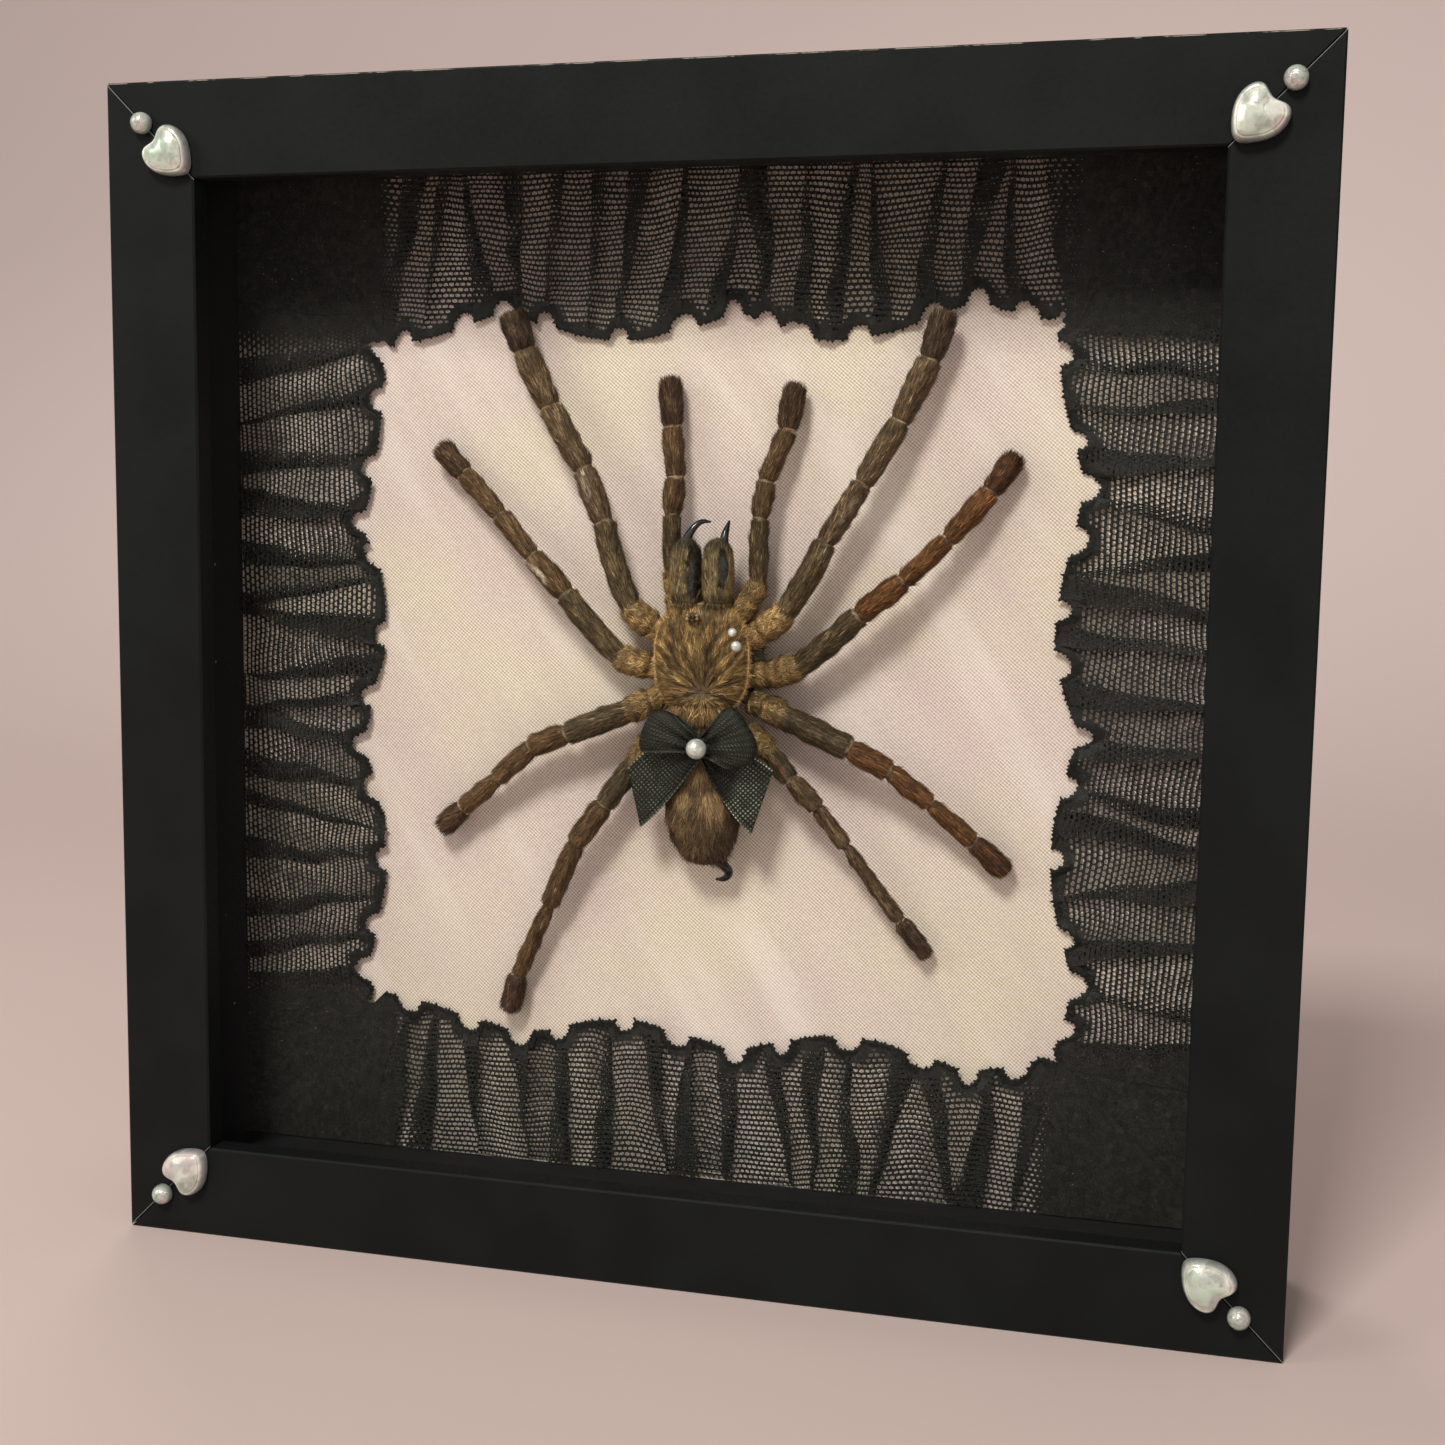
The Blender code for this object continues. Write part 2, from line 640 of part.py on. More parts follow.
def make_frame():
    """The four rails, each with its two tabs, and the hanging plate on the top one."""
    for index, side in enumerate(("top", "right", "bottom", "left")):
        turn = index * math.pi / 2
        rail = make_rail(f"frame_{side}", turn)
        for end, along in (("a", -TAB_SPREAD), ("b", TAB_SPREAD)):
            make_tab(f"tab_{side}_{end}", rail, turn, along)
        if side == "top":
            make_hanger(rail)


def make_panels():
    """The glass, the satin and the board, and the spacer strips that keep them apart."""
    glass_middle = GLASS_FRONT + GLASS_THICKNESS / 2
    adopt(box("front_glass", (PANEL_SIDE, GLASS_THICKNESS, PANEL_SIDE), (0, glass_middle, 0)), "clear_glass")
    satin_middle = SATIN_DEPTH + SATIN_THICKNESS / 2
    adopt(box("satin_backing", (PANEL_SIDE, SATIN_THICKNESS, PANEL_SIDE), (0, satin_middle, 0)), "satin_pink")
    board_middle = BOARD_FRONT + BOARD_THICKNESS / 2
    adopt(box("back_board", (PANEL_SIDE, BOARD_THICKNESS, PANEL_SIDE), (0, board_middle, 0)), "board_brown")
    spacer_depth = SATIN_DEPTH - GAP - SPACER_FRONT
    spacer_middle = SPACER_FRONT + spacer_depth / 2
    out = SPACER_INNER + SPACER_THICKNESS / 2
    side_length = 2 * (SPACER_INNER - GAP)
    for side, sign in (("top", 1), ("bottom", -1)):
        size = (PANEL_SIDE, spacer_depth, SPACER_THICKNESS)
        adopt(box(f"spacer_{side}", size, (0, spacer_middle, sign * out)), "spacer_black")
    for side, sign in (("right", 1), ("left", -1)):
        size = (SPACER_THICKNESS, spacer_depth, side_length)
        adopt(box(f"spacer_{side}", size, (sign * out, spacer_middle, 0)), "spacer_black")


# Trim on the face


def make_dome(name, middle, segments, rises, outline):
    """A flat-backed dome of nacre on the face: rises is (share of the outline, rise), edge to top."""

    def place(index, angle):
        if index == 0:
            return Vector((0.0, -GAP, 0.0)) * MM
        share, rise = rises[min(index, len(rises)) - 1]
        across, up = outline(angle)
        return Vector((across * share, -GAP - rise, up * share)) * MM

    dome = ring_body(name, len(rises) - 1, segments, place)
    dome.location = Vector((middle[0], 0.0, middle[1])) * MM
    return adopt(dome, "nacre")


def pearl_outline(angle):
    radius = CORNER_PEARL_DIAMETER / 2
    return radius * math.cos(angle), radius * math.sin(angle)


def heart_outline(angle):
    """A plump heart that points down: the classic heart curve, softened towards an oval."""
    turned = math.pi / 2 - angle
    sine = math.sin(turned)
    cosine = math.cos(turned)
    curve = 13 * cosine - 5 * math.cos(2 * turned) - 2 * math.cos(3 * turned) - math.cos(4 * turned)
    oval = 13 * cosine - 2.5
    across = HEART_SHARPNESS * sine**3 + (1 - HEART_SHARPNESS) * sine
    up = HEART_SHARPNESS * curve + (1 - HEART_SHARPNESS) * oval
    return across / 2 * HEART_WIDTH, (up - HEART_CURVE_MIDDLE) / HEART_CURVE_LENGTH * HEART_LENGTH


def make_face_trim():
    """A pearl and a heart on each mitre, the heart's point towards the opening."""
    pearl_rises = [(1.0, 0.0)]
    for step in range(CORNER_PEARL_RINGS + 1):
        angle = step / CORNER_PEARL_RINGS * math.pi / 2
        dome = (CORNER_PEARL_RISE - CORNER_PEARL_EDGE) * math.sin(angle)
        pearl_rises.append((math.cos(angle), CORNER_PEARL_EDGE + dome))
    for name, right, up in (
        ("top_left", -1, 1),
        ("top_right", 1, 1),
        ("bottom_right", 1, -1),
        ("bottom_left", -1, -1),
    ):
        make_dome(
            f"corner_pearl_{name}",
            (right * CORNER_PEARL_AT, up * CORNER_PEARL_AT),
            PEARL_SEGMENTS,
            pearl_rises,
            pearl_outline,
        )
        heart = make_dome(
            f"corner_heart_{name}",
            (right * HEART_AT, up * HEART_AT),
            HEART_SEGMENTS,
            HEART_RISES,
            heart_outline,
        )
        heart.rotation_euler = (0.0, math.atan2(right, up), 0.0)


# Lace


def scalloped_edge(notches, first_corner, last_corner):
    """Points (along, out) of the scalloped edge, each scallop a round lobe between two notches."""
    stops = [first_corner, *notches, last_corner]
    points = [stops[0]]
    for (start, start_out), (end, end_out) in zip(stops, stops[1:]):
        width = end - start
        bulge = min(SCALLOP_MOST, SCALLOP_SHARE * width)
        for step in range(1, SCALLOP_STEPS + 1):
            share = (1 - math.cos(step / SCALLOP_STEPS * math.pi)) / 2
            lobe = bulge * math.sin(share * math.pi) ** 0.6 if step < SCALLOP_STEPS else 0.0
            along = start + width * share
            from_corner = min(along - first_corner[0], last_corner[0] - along)
            lobe = min(lobe, CORNER_SLOPE * from_corner)
            points.append((along, start_out + (end_out - start_out) * share - lobe))
    return points


def make_lace(side, first, last, to_plane):
    """One gathered strip: pleats run from its outer edge to the scallops, in low zigzags."""

    def seen_from_side(corner):
        right, up = LACE_CORNERS[corner]
        return {
            "top": (right, up),
            "right": (up, right),
            "bottom": (right, -up),
            "left": (up, -right),
        }[side]

    edge = scalloped_edge(LACE_NOTCHES[side], seen_from_side(first), seen_from_side(last))
    start, end = edge[0][0], edge[-1][0]
    clearance = TOUCH * math.sqrt(2)
    columns = len(edge)
    bm = bmesh.new()
    bmesh.ops.create_grid(bm, x_segments=columns - 1, y_segments=1, size=0.5)
    for vert in bm.verts:
        index = round((vert.co.x + 0.5) * (columns - 1))
        along, out = edge[index]
        share = (along - start) / (end - start)
        pull_in = clearance * (1 - 2 * share)
        if vert.co.y > 0:
            along = LACE_OUTER * (2 * share - 1)
            out = LACE_OUTER
        height = LACE_HIGH if index % 2 else LACE_LOW
        vert.co = inside((*to_plane(along + pull_in, out), height))
    back = bmesh.ops.extrude_face_region(bm, geom=bm.faces[:])
    back_verts = [item for item in back["geom"] if isinstance(item, bmesh.types.BMVert)]
    bmesh.ops.translate(bm, verts=back_verts, vec=(0.0, LACE_THICKNESS * MM, 0.0))
    adopt(object_from(f"lace_{side}", bm), "lace_black", smooth=False)


def make_all_lace():
    make_lace("top", "top_left", "top_right", lambda along, out: (along, out))
    make_lace("right", "bottom_right", "top_right", lambda along, out: (out, along))
    make_lace("bottom", "bottom_left", "bottom_right", lambda along, out: (along, -out))
    make_lace("left", "bottom_left", "top_left", lambda along, out: (-out, along))


# Spider


def make_cephalothorax():
    """Carapace and the body under it. Its grooves run out from the fovea, and the eyes sit on a mound."""
    count = len(CARAPACE_RINGS)
    lengthening = CARAPACE_HALF[1] / CARAPACE_HALF[0]

    def place(index, angle):
        if index == 0:
            return inside((*BODY_MIDDLE, CARAPACE_FOOT))
        if index == count + 1:
            return inside((*FOVEA, FOVEA_HEIGHT))
        half_width, height, share = CARAPACE_RINGS[index - 1]
        across, up = superellipse(angle, CARAPACE_SQUARENESS)
        right = FOVEA[0] + (BODY_MIDDLE[0] - FOVEA[0]) * share + across * half_width
        above = FOVEA[1] + (BODY_MIDDLE[1] - FOVEA[1]) * share + up * half_width * lengthening
        in_groove = round(angle / (2 * math.pi) * CARAPACE_SEGMENTS) % 2
        if in_groove and index > count - GROOVED_RINGS:
            height -= GROOVE_DEPTH
        return inside((right, above, height))

    body = ring_body("cephalothorax", count, CARAPACE_SEGMENTS, place)
    mound = ellipsoid("eye_mound", 4, 8, EYE_MOUND, EYE_MOUND_HALF)
    adopt(join(body, [mound]), "carapace_brown")


def make_abdomen():
    """An egg-shaped abdomen with one dark curled spinneret behind it."""
    count = len(ABDOMEN_RINGS)

    def place(index, angle):
        if index == 0:
            return inside((ABDOMEN_RIGHT, ABDOMEN_START, ABDOMEN_HEIGHT))
        if index == count + 1:
            return inside((ABDOMEN_RIGHT, ABDOMEN_START - ABDOMEN_LENGTH, ABDOMEN_HEIGHT))
        distance, half_width = ABDOMEN_RINGS[index - 1]
        return inside((
            ABDOMEN_RIGHT + half_width * math.cos(angle),
            ABDOMEN_START - distance,
            ABDOMEN_HEIGHT + half_width * ABDOMEN_FLATNESS * math.sin(angle),
        ))

    abdomen = ring_body("abdomen", count, 16, place)
    adopt(join(abdomen, [tube("spinneret", SPINNERET)]), "abdomen_brown")


def make_chelicerae():
    """The two jaws in front of the carapace, each with its fang."""
    count = len(CHELICERA_RINGS)
    half_width, half_height = CHELICERA_HALF
    for side, right in CHELICERA_AT.items():

        def place(index, angle):
            if index == 0:
                return inside((right, CHELICERA_START, CHELICERA_HEIGHT))
            if index == count + 1:
                return inside((right, CHELICERA_START + CHELICERA_LENGTH, CHELICERA_HEIGHT))
            distance, share = CHELICERA_RINGS[index - 1]
            across, high = superellipse(angle, CHELICERA_SQUARENESS)
            return inside((
                right + half_width * share * across,
                CHELICERA_START + distance,
                CHELICERA_HEIGHT + half_height * share * high,
            ))

        jaw = ring_body(f"chelicera_{side}", count, 12, place)
        adopt(join(jaw, [tube(f"fang_{side}", FANGS[side])]), "chelicera_brown")


def limb_path(joints, radii, femur_bow):
    """Points (right, up, height, radius) along a limb, narrow at each joint and round at the tip."""
    tip = Vector(joints[0])
    first = (Vector(joints[1]) - tip).normalized()
    path = [(*(tip + first * radii[0] * along), radii[0] * share) for along, share in TIP_ROUNDING]
    for index, radius in enumerate(radii):
        start = Vector(joints[index])
        end = Vector(joints[index + 1])
        along = (end - start).normalized()
        if index:
            path.append((*(start + along * JOINT_LENGTH), radius))
        if index == FEMUR and femur_bow:
            path.append((*((start + end) / 2 + Vector((*femur_bow, 0.0))), radius))
        if index < len(radii) - 1:
            path.append((*(end - along * JOINT_LENGTH), radius))
            path.append((*end, JOINT_WAIST * min(radius, radii[index + 1])))
        else:
            path.append((*end, radius))
    return path


def make_limbs():
    for name, (joints, radii) in LIMBS.items():
        path = limb_path(joints, radii, FEMUR_BOWS.get(name))
        adopt(tube(name, path), "limb_brown")


# Bow and pearls


def ribbon(name, columns, rows, place):
    """A strip of ribbon as a grid, thickened: place(along, across), both from 0 to 1."""
    bm = bmesh.new()
    bmesh.ops.create_grid(bm, x_segments=columns, y_segments=rows, size=0.5)
    for vert in bm.verts:
        vert.co = inside(place(vert.co.x + 0.5, vert.co.y + 0.5))
    strip = object_from(name, bm)
    thickness = strip.modifiers.new("thickness", "SOLIDIFY")
    thickness.thickness = RIBBON_THICKNESS * MM
    thickness.offset = 0.0
    return strip


def knot_end(first, second, across):
    """The point across the narrow end of a ribbon at the knot, parallel to its far end."""
    direction = (Vector(second) - Vector(first)).normalized()
    return Vector(KNOT[:2]) + direction * KNOT_RIBBON_HALF * (2 * across - 1)


def make_bow():
    """Two loops and two tails that fan out of the knot, joined into one ribbon."""
    pieces = []
    for side, (first, second, bulge) in LOOPS.items():

        def loop_place(along, across):
            near = knot_end(first, second, across)
            far = Vector(first).lerp(Vector(second), across)
            outward = (far - Vector(KNOT[:2])).normalized()
            far = far + outward * bulge * math.sin(math.pi * across)
            spot = near.lerp(far, math.sin(math.pi * along))
            opened = (LOOP_PINCH + math.sin(math.pi * along)) / (LOOP_PINCH + 1)
            lift = -LOOP_HALF_HEIGHT * math.cos(math.pi * along) * opened
            return (*spot, KNOT[2] + lift)

        pieces.append(ribbon(f"loop_{side}", 8, 4, loop_place))
    for side, (first, second) in TAILS.items():

        def tail_place(along, across):
            far_middle = (Vector(first) + Vector(second)) / 2
            far_edge = Vector(second) - Vector(first)
            spread = (across - 0.5) * math.sin(math.pi / 2 * (TAIL_PINCH + (1 - TAIL_PINCH) * along))
            spot = Vector(KNOT[:2]).lerp(far_middle, along) + far_edge * spread
            return (*spot, KNOT[2] - TAIL_START - TAIL_DROP * along * along)

        pieces.append(ribbon(f"tail_{side}", 4, 2, tail_place))

    knot = ellipsoid("ribbon_bow", 4, 10, KNOT, KNOT_HALF)
    adopt(join(knot, pieces), "ribbon_green", smooth=False)


def make_pearl(name, right, up, base, diameter):
    """A round pearl with a small flat where it is glued down."""
    radius = diameter / 2

    def place(index, angle):
        if index == 0:
            return inside((right, up, base))
        polar = PEARL_FLAT + (math.pi / 2 - PEARL_FLAT) * (index - 1) / PEARL_RINGS
        ring = radius * math.cos(polar)
        height = base + radius * (math.sin(polar) - math.sin(PEARL_FLAT))
        return inside((right + ring * math.cos(angle), up + ring * math.sin(angle), height))

    adopt(ring_body(name, PEARL_RINGS, PEARL_SEGMENTS, place), "nacre")


def make_inner_pearls():
    make_pearl("bow_pearl", KNOT[0], KNOT[1], KNOT[2] + KNOT_HALF[2] + GAP, BOW_PEARL_DIAMETER)
    for name, (right, up, diameter) in HEAD_PEARLS.items():
        make_pearl(name, right, up, HEAD_PEARL_BASE, diameter)


clear_scene()
PARTS = make_collection("framed_tarantula")
CUTTERS = make_collection("cutters")
MATERIALS = make_materials()
CENTRE = add_empty(PARTS)
make_frame()
make_panels()
make_face_trim()
make_all_lace()
make_cephalothorax()
make_abdomen()
make_chelicerae()
make_limbs()
make_bow()
make_inner_pearls()
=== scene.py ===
"""How the framed tarantula looks: skins and hair, net lace, satin, ribbon, nacre and lacquer.

Places are (right, up, height above the satin) in millimetres from the middle of the frame, as
in the CAD, and become metres where a mesh is made. Each piece stands where its CAD node is.
"""

import math

import bpy
import numpy as np
from mathutils import Matrix, Vector

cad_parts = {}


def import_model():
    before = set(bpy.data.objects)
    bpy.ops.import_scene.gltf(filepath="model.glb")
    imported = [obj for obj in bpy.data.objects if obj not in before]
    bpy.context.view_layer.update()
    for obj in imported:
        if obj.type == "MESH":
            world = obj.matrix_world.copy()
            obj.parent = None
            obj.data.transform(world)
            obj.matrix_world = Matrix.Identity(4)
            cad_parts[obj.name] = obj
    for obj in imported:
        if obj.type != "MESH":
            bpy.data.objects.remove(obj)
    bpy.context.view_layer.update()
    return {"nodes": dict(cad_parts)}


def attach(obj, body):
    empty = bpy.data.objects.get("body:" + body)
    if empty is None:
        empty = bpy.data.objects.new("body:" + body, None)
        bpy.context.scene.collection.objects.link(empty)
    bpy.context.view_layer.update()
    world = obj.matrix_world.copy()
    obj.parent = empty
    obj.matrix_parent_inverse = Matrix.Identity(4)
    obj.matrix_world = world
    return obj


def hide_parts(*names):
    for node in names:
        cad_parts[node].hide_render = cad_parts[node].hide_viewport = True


MM = 0.001
SATIN_Y = 9.65  # front of the satin
MIDDLE_UP = 125.0
FACE_Y = -20.35

# Camera of the photograph
CAMERA_PLACE = (0.1085, -0.39365, 0.1644)
CAMERA_RIGHT = (0.96721879, 0.25355824, 0.01400091)
CAMERA_UP = (-0.04239882, 0.10688231, 0.99336726)
CAMERA_FORWARD = (-0.25038, 0.9613971, -0.11412915)
CAMERA_LENS = 48.142
CAMERA_SENSOR = 36.0

# Plain floor that curves up to a backdrop, in metres
STAGE_HALF = 6.0
STAGE_FRONT = 4.0
STAGE_BACK = 0.6
STAGE_CURVE = 1.2
STAGE_HEIGHT = 5.0

LIGHT_TARGET = (0, 0, 0.12)
LIGHTS = (  # name, place, size, power, colour
    ("key", (-0.16, -1.10, 1.28), (0.34, 0.34), 19.6, (1.0, 0.96, 0.90)),
    ("side", (-1.15, -0.8, 0.7), (0.6, 0.6), 4.2, (1.0, 0.96, 0.90)),
    ("fill", (0.9, -1.0, 0.5), (1.2, 1.0), 2.2, (1.0, 0.95, 0.90)),
    ("back", (-0.5, 0.8, 1.25), (0.5, 0.3), 3.5, (1.0, 0.96, 0.92)),
)
WORLD_COLOUR = (0.93, 0.89, 0.87)
WORLD_STRENGTH = 0.33

# Finish of the frame, in metres
MITRE_LINE = (0.00005, 0.00015, 0.00028, 0.00042)  # off the mitre: the pale line begins, full, fades, ends
WORN_TOP = (0.24966, 0.24974)  # heights where the wear on top begins and is full
WORN_FRONT = (-0.02024, -0.02000)  # depths where it is full and ends

# Trim on the face
CORNER_PEARL_AT = 116.4
CORNER_PEARL_DIAMETER = 4.5
CORNER_PEARL_RISE = 2.9
CORNER_PEARL_EDGE = 0.5
HEART_AT = 109.7
HEART_WIDTH = 10.3
HEART_LENGTH = 10.7
HEART_SHARPNESS = 0.52  # share of a pointed heart curve in its outline, the rest being an oval
HEART_SIDES = 0.26  # the same for its width, which is fuller
HEART_TURN = math.radians(-3)
HEART_PAINTED_SHADING = (  # share of the outline, tint: the pale band inside the rim is a painted reflection of the lights, the grey edge painted shade
    (0.0, 0.68, 0.74, 0.67), (0.45, 0.70, 0.74, 0.69), (0.68, 0.75, 0.76, 0.71),
    (0.78, 0.98, 0.95, 0.87), (0.84, 0.90, 0.88, 0.82), (0.91, 0.70, 0.70, 0.68), (1.0, 0.44, 0.45, 0.45),
)
# Corner pearls, share of the outline, tint: the bright band near the rim is a painted highlight, the darker
# edge painted shade
PEARL_PAINTED_SHADING = (
    (0.0, 0.62, 0.64, 0.61), (0.6, 0.66, 0.67, 0.64), (0.9, 0.85, 0.84, 0.80), (1.0, 0.6, 0.6, 0.58),
)
PEARL_TINT = (0.92, 0.94, 0.91)
HEART_CURVE_LENGTH = 26.2
HEART_CURVE_MIDDLE = -3.3
HEART_RISES = (  # share of the outline, height above the glued back
    (1.0, 0.0), (1.0, 0.9), (0.95, 1.9), (0.88, 2.45), (0.81, 2.6), (0.75, 2.95), (0.4, 3.75), (0.0, 4.0),
)
TRIM_GAP = 0.3  # from the face to the back of the trim

# Satin
SATIN_HALF = 113.2
SATIN_STEPS = 150
SATIN_SINK = 0.05  # below the CAD's front face

# Lace: the outer edge, and the notches of its scalloped edge as (along, out) from the centre
LACE_OUTER = 110.7
SCALLOP_STEPS = 48
SCALLOP_SHARE = 0.3
SCALLOP_MOST = 3.4
SHOULDER = 0.78  # how far forward a lobe stands beside a notch, as a share of its middle
NOTCH_RADIUS = (1.9, 3.0)
CORNER_SLOPE = 0.8

LACE_CORNERS = {
    "top_left": (-78.7, 72.8),
    "top_right": (73.4, 77.6),
    "bottom_right": (77.6, -77.2),
    "bottom_left": (-79.4, -76.6),
}
LACE_NOTCHES = {
    "top": (
        (-70.3, 75.8), (-56.1, 79.4), (-46.7, 82.1), (-36.8, 79.4), (-20.2, 75.8), (-6.0, 78.6),
        (5.0, 81.6), (12.6, 79.0), (19.2, 76.6), (32.0, 76.0), (47.2, 80.4), (56.6, 83.4), (66.6, 80.4),
    ),
    "right": (
        (-70.3, 81.2), (-60.5, 83.6), (-50.7, 80.4), (-34.0, 77.7), (-18.8, 79.9), (-8.0, 83.0),
        (6.7, 77.8), (17.9, 77.6), (32.2, 80.5), (43.0, 82.6), (52.6, 79.6), (70.1, 76.2),
    ),
    "bottom": (
        (-69.6, 78.2), (-55.1, 81.4), (-42.7, 84.2), (-33.1, 81.8), (-17.8, 78.6), (-5.6, 81.0),
        (7.7, 84.0), (18.3, 80.8), (32.9, 78.4), (48.7, 81.2), (59.1, 84.0), (69.5, 81.8),
    ),
    "left": (
        (-69.0, 83.2), (-58.2, 80.4), (-43.1, 77.8), (-26.6, 80.4), (-16.8, 83.6), (-5.7, 81.3),
        (8.3, 77.6), (26.1, 79.8), (33.6, 83.4), (46.0, 80.6), (60.8, 78.4),
    ),
}

# Net of the lace, in millimetres of flat cloth
CELL = (1.08, 1.13)  # along and across the strip
CELL_CORNERS = ((0.0, 0.667), (0.5, 0.333), (0.5, -0.333), (0.0, -0.667), (-0.5, -0.333), (-0.5, 0.333))
HOLE = (0.94, 0.71)
HOLE_CORNERS = ((0.0, 0.5), (0.45, 0.34), (0.45, -0.34), (0.0, -0.5), (-0.45, -0.34), (-0.45, 0.34))
SMALLEST_HOLE = 0.15
LACE_TINT = (0.0180, 0.0186, 0.0158)
LACE_BOTTOM = 0.65
LACE_TOP = 2.1
PLEAT_REACH = 112.0
PLEAT_SPACING = (6.5, 12.0)
CORNER_PLEAT_SPACING = (4.0, 6.0)
CORNER_BLOCK = 76.0
CORNER_LIES_AT = 1.3  # pleats are pressed flat near a corner
PLEAT_LEAN = 7.0
PLEAT_WIDE = (4.0, 7.6)
PLEAT_SLIM = (0.4, 1.8)
PLEAT_DEPTH = 36.0
FOLD_CLOTH = 1.1
ROW_WAVE = 0.6
MITRE_LAP = 1.4  # how far the strips lie over each other along a mitre
MITRE_RISE = 0.15
SEAM_SOLID = 4.0
BORDER_STEP = 0.13
BORDER_WIDTH = 1.3
BORDER_SOLID = (1.5, 0.7)  # closed net beside the border: its middle width and how far it varies
PICOT_PITCH = 1.05
PICOT_SIZE = 0.40

# Weaves, in millimetres
SATIN_TWILL_TURN = math.radians(50)
SATIN_TWILL_PITCH = 0.58
SATIN_PAINTED_SHEEN = (0.014, 1.0, 0.075)  # width, depth and length of the painted streaks of sheen, in metres: lighter bands of reflection, darker bands of shade
SATIN_PAINTED_SHEEN_TURN = math.radians(-32)
RIBBON_LINE_PITCH = 0.72
RIBBON_ROW_PITCH = 0.80

# Hair
HAIR_DEPTH = 0.38  # from the skin to the tips, inside the CAD's outline
HAIR_GAIN = np.array((1.45, 1.50, 1.58))  # hair shades itself, so its tints are lighter than they look

# Spider: the CAD's own sizes
BODY_MIDDLE = (1.45, 6.0)
CARAPACE_HALF = (10.65, 11.8)
FOVEA = (2.0, -1.2)
FOVEA_PIT = (2.0, -1.1)
FOVEA_PIT_HALF = (1.5, 0.45)
CARAPACE_RINGS = (  # half width, height, share of the way from the fovea to the body's middle
    (4.6, 2.2, 1.0),
    (7.2, 4.0, 1.0),
    (7.6, 6.8, 1.0),
    (9.6, 8.1, 1.0),
    (10.65, 8.9, 1.0),
    (10.2, 10.6, 0.95),
    (8.3, 12.2, 0.8),
    (5.4, 13.0, 0.5),
    (2.2, 12.9, 0.15),
)
RIGHT_NARROWER = 0.93  # the carapace reaches a little less far on its right
FLANK_HEIGHT = 4.6
FLANK_HALF = (12.2, 11.6, 2.5)
FLANK_HAIRS = 3000
GROOVES = (  # from near the fovea outwards: start, end, half width, depth
    ((1.5, 1.0), (-3.6, 10.8), 0.55, 0.38),
    ((2.4, 1.0), (6.6, 10.4), 0.55, 0.38),
    ((0.8, 0.2), (-6.0, 6.2), 0.40, 0.30),
    ((0.6, -0.4), (-7.2, 1.6), 0.40, 0.30),
    ((0.8, -1.0), (-5.4, -3.6), 0.40, 0.26),
    ((3.2, 0.2), (9.4, 6.4), 0.40, 0.30),
    ((3.4, -0.4), (10.8, 1.8), 0.40, 0.30),
    ((3.2, -1.0), (8.6, -3.4), 0.40, 0.26),
    ((1.8, 1.4), (0.9, 6.5), 0.35, 0.15),
)
DARK_PATCHES = (  # right, up, half width, half height, strength
    (-4.9, 11.9, 1.0, 1.6, 0.85), (-3.9, 8.0, 1.2, 3.0, 0.75), (3.4, 7.0, 1.1, 2.6, 0.75),
    (4.9, 9.8, 1.0, 1.6, 0.5), (0.2, 4.0, 1.2, 3.2, 0.35), (1.9, -0.9, 1.9, 0.8, 0.9),
    (5.1, 13.2, 0.8, 0.7, 0.4), (-4.6, 3.8, 0.6, 2.0, 0.4), (6.8, 4.2, 0.7, 1.6, 0.3),
)
RIM_ABOVE = 2  # rings above the widest one
RIM_OUT = 0.40
RIM_RADIUS = 0.24
RIM_LINES = ((47, 76), (104, 130), (18, 41))  # pale rim on the left, on the right and at the front
CARAPACE_HAIRS = 15000
FRINGE_HAIRS = 1200
REAR_HAIRS = 3600
CARAPACE_INSET = 0.35  # from the CAD's outline to the skin
CARAPACE_FOOT = 2.0
FOVEA_HEIGHT = 12.2
CARAPACE_SQUARENESS = 2.7
EYE_MOUND = (0.0, 14.9, 12.6)
EYE_MOUND_HALF = (1.7, 1.2, 1.1)
BLACK_EYE, AMBER_EYE = (0.020, 0.012, 0.005), (0.32, 0.20, 0.085)
EYES = (  # across and along the mound as shares of it, radius, tint
    (-0.26, 0.12, 0.42, BLACK_EYE), (0.28, 0.12, 0.42, BLACK_EYE), (-0.70, 0.45, 0.38, AMBER_EYE),
    (0.70, 0.45, 0.38, AMBER_EYE), (-0.74, -0.25, 0.38, AMBER_EYE), (0.74, -0.25, 0.38, AMBER_EYE),
    (-0.34, -0.6, 0.28, BLACK_EYE), (0.34, -0.6, 0.28, BLACK_EYE),
)
ABDOMEN_RIGHT = 1.4
ABDOMEN_HEIGHT = 7.2
ABDOMEN_RINGS = (  # distance along the body from its waist end, half width
    (1.5, 3.6),
    (5.0, 5.8),
    (10.0, 7.6),
    (16.0, 8.7),
    (22.0, 8.6),
    (27.0, 7.0),
    (30.5, 4.4),
)
ABDOMEN_START = -6.6
ABDOMEN_LENGTH = 32.0
ABDOMEN_FLATNESS = 0.68
ABDOMEN_INSET = 0.55
ABDOMEN_HAIRS = 16000
TUFT_HAIRS = 900
TUFT = (5.4, -35.2)  # dark hair round the spinneret
TUFT_HALF = (2.6, 2.4)
TUFT_TOWARDS = (5.6, -39.0, 6.0)
ABDOMEN_PALE = (  # right, up, half width, half height, strength
    (-1.7, -22.8, 2.1, 2.2, 1.0), (4.6, -23.4, 2.2, 2.6, 0.95), (2.3, -17.6, 1.9, 1.7, 0.9),
    (1.6, -13.0, 4.0, 3.5, 0.5), (-2.6, -28.0, 1.4, 2.0, 0.35),
)
ABDOMEN_DARK = (
    (1.2, -20.6, 1.3, 1.8, 0.55), (1.2, -27.0, 1.1, 3.6, 0.45), (7.8, -32.0, 3.0, 4.0, 0.5),
    (8.6, -26.0, 1.6, 5.0, 0.4),
)
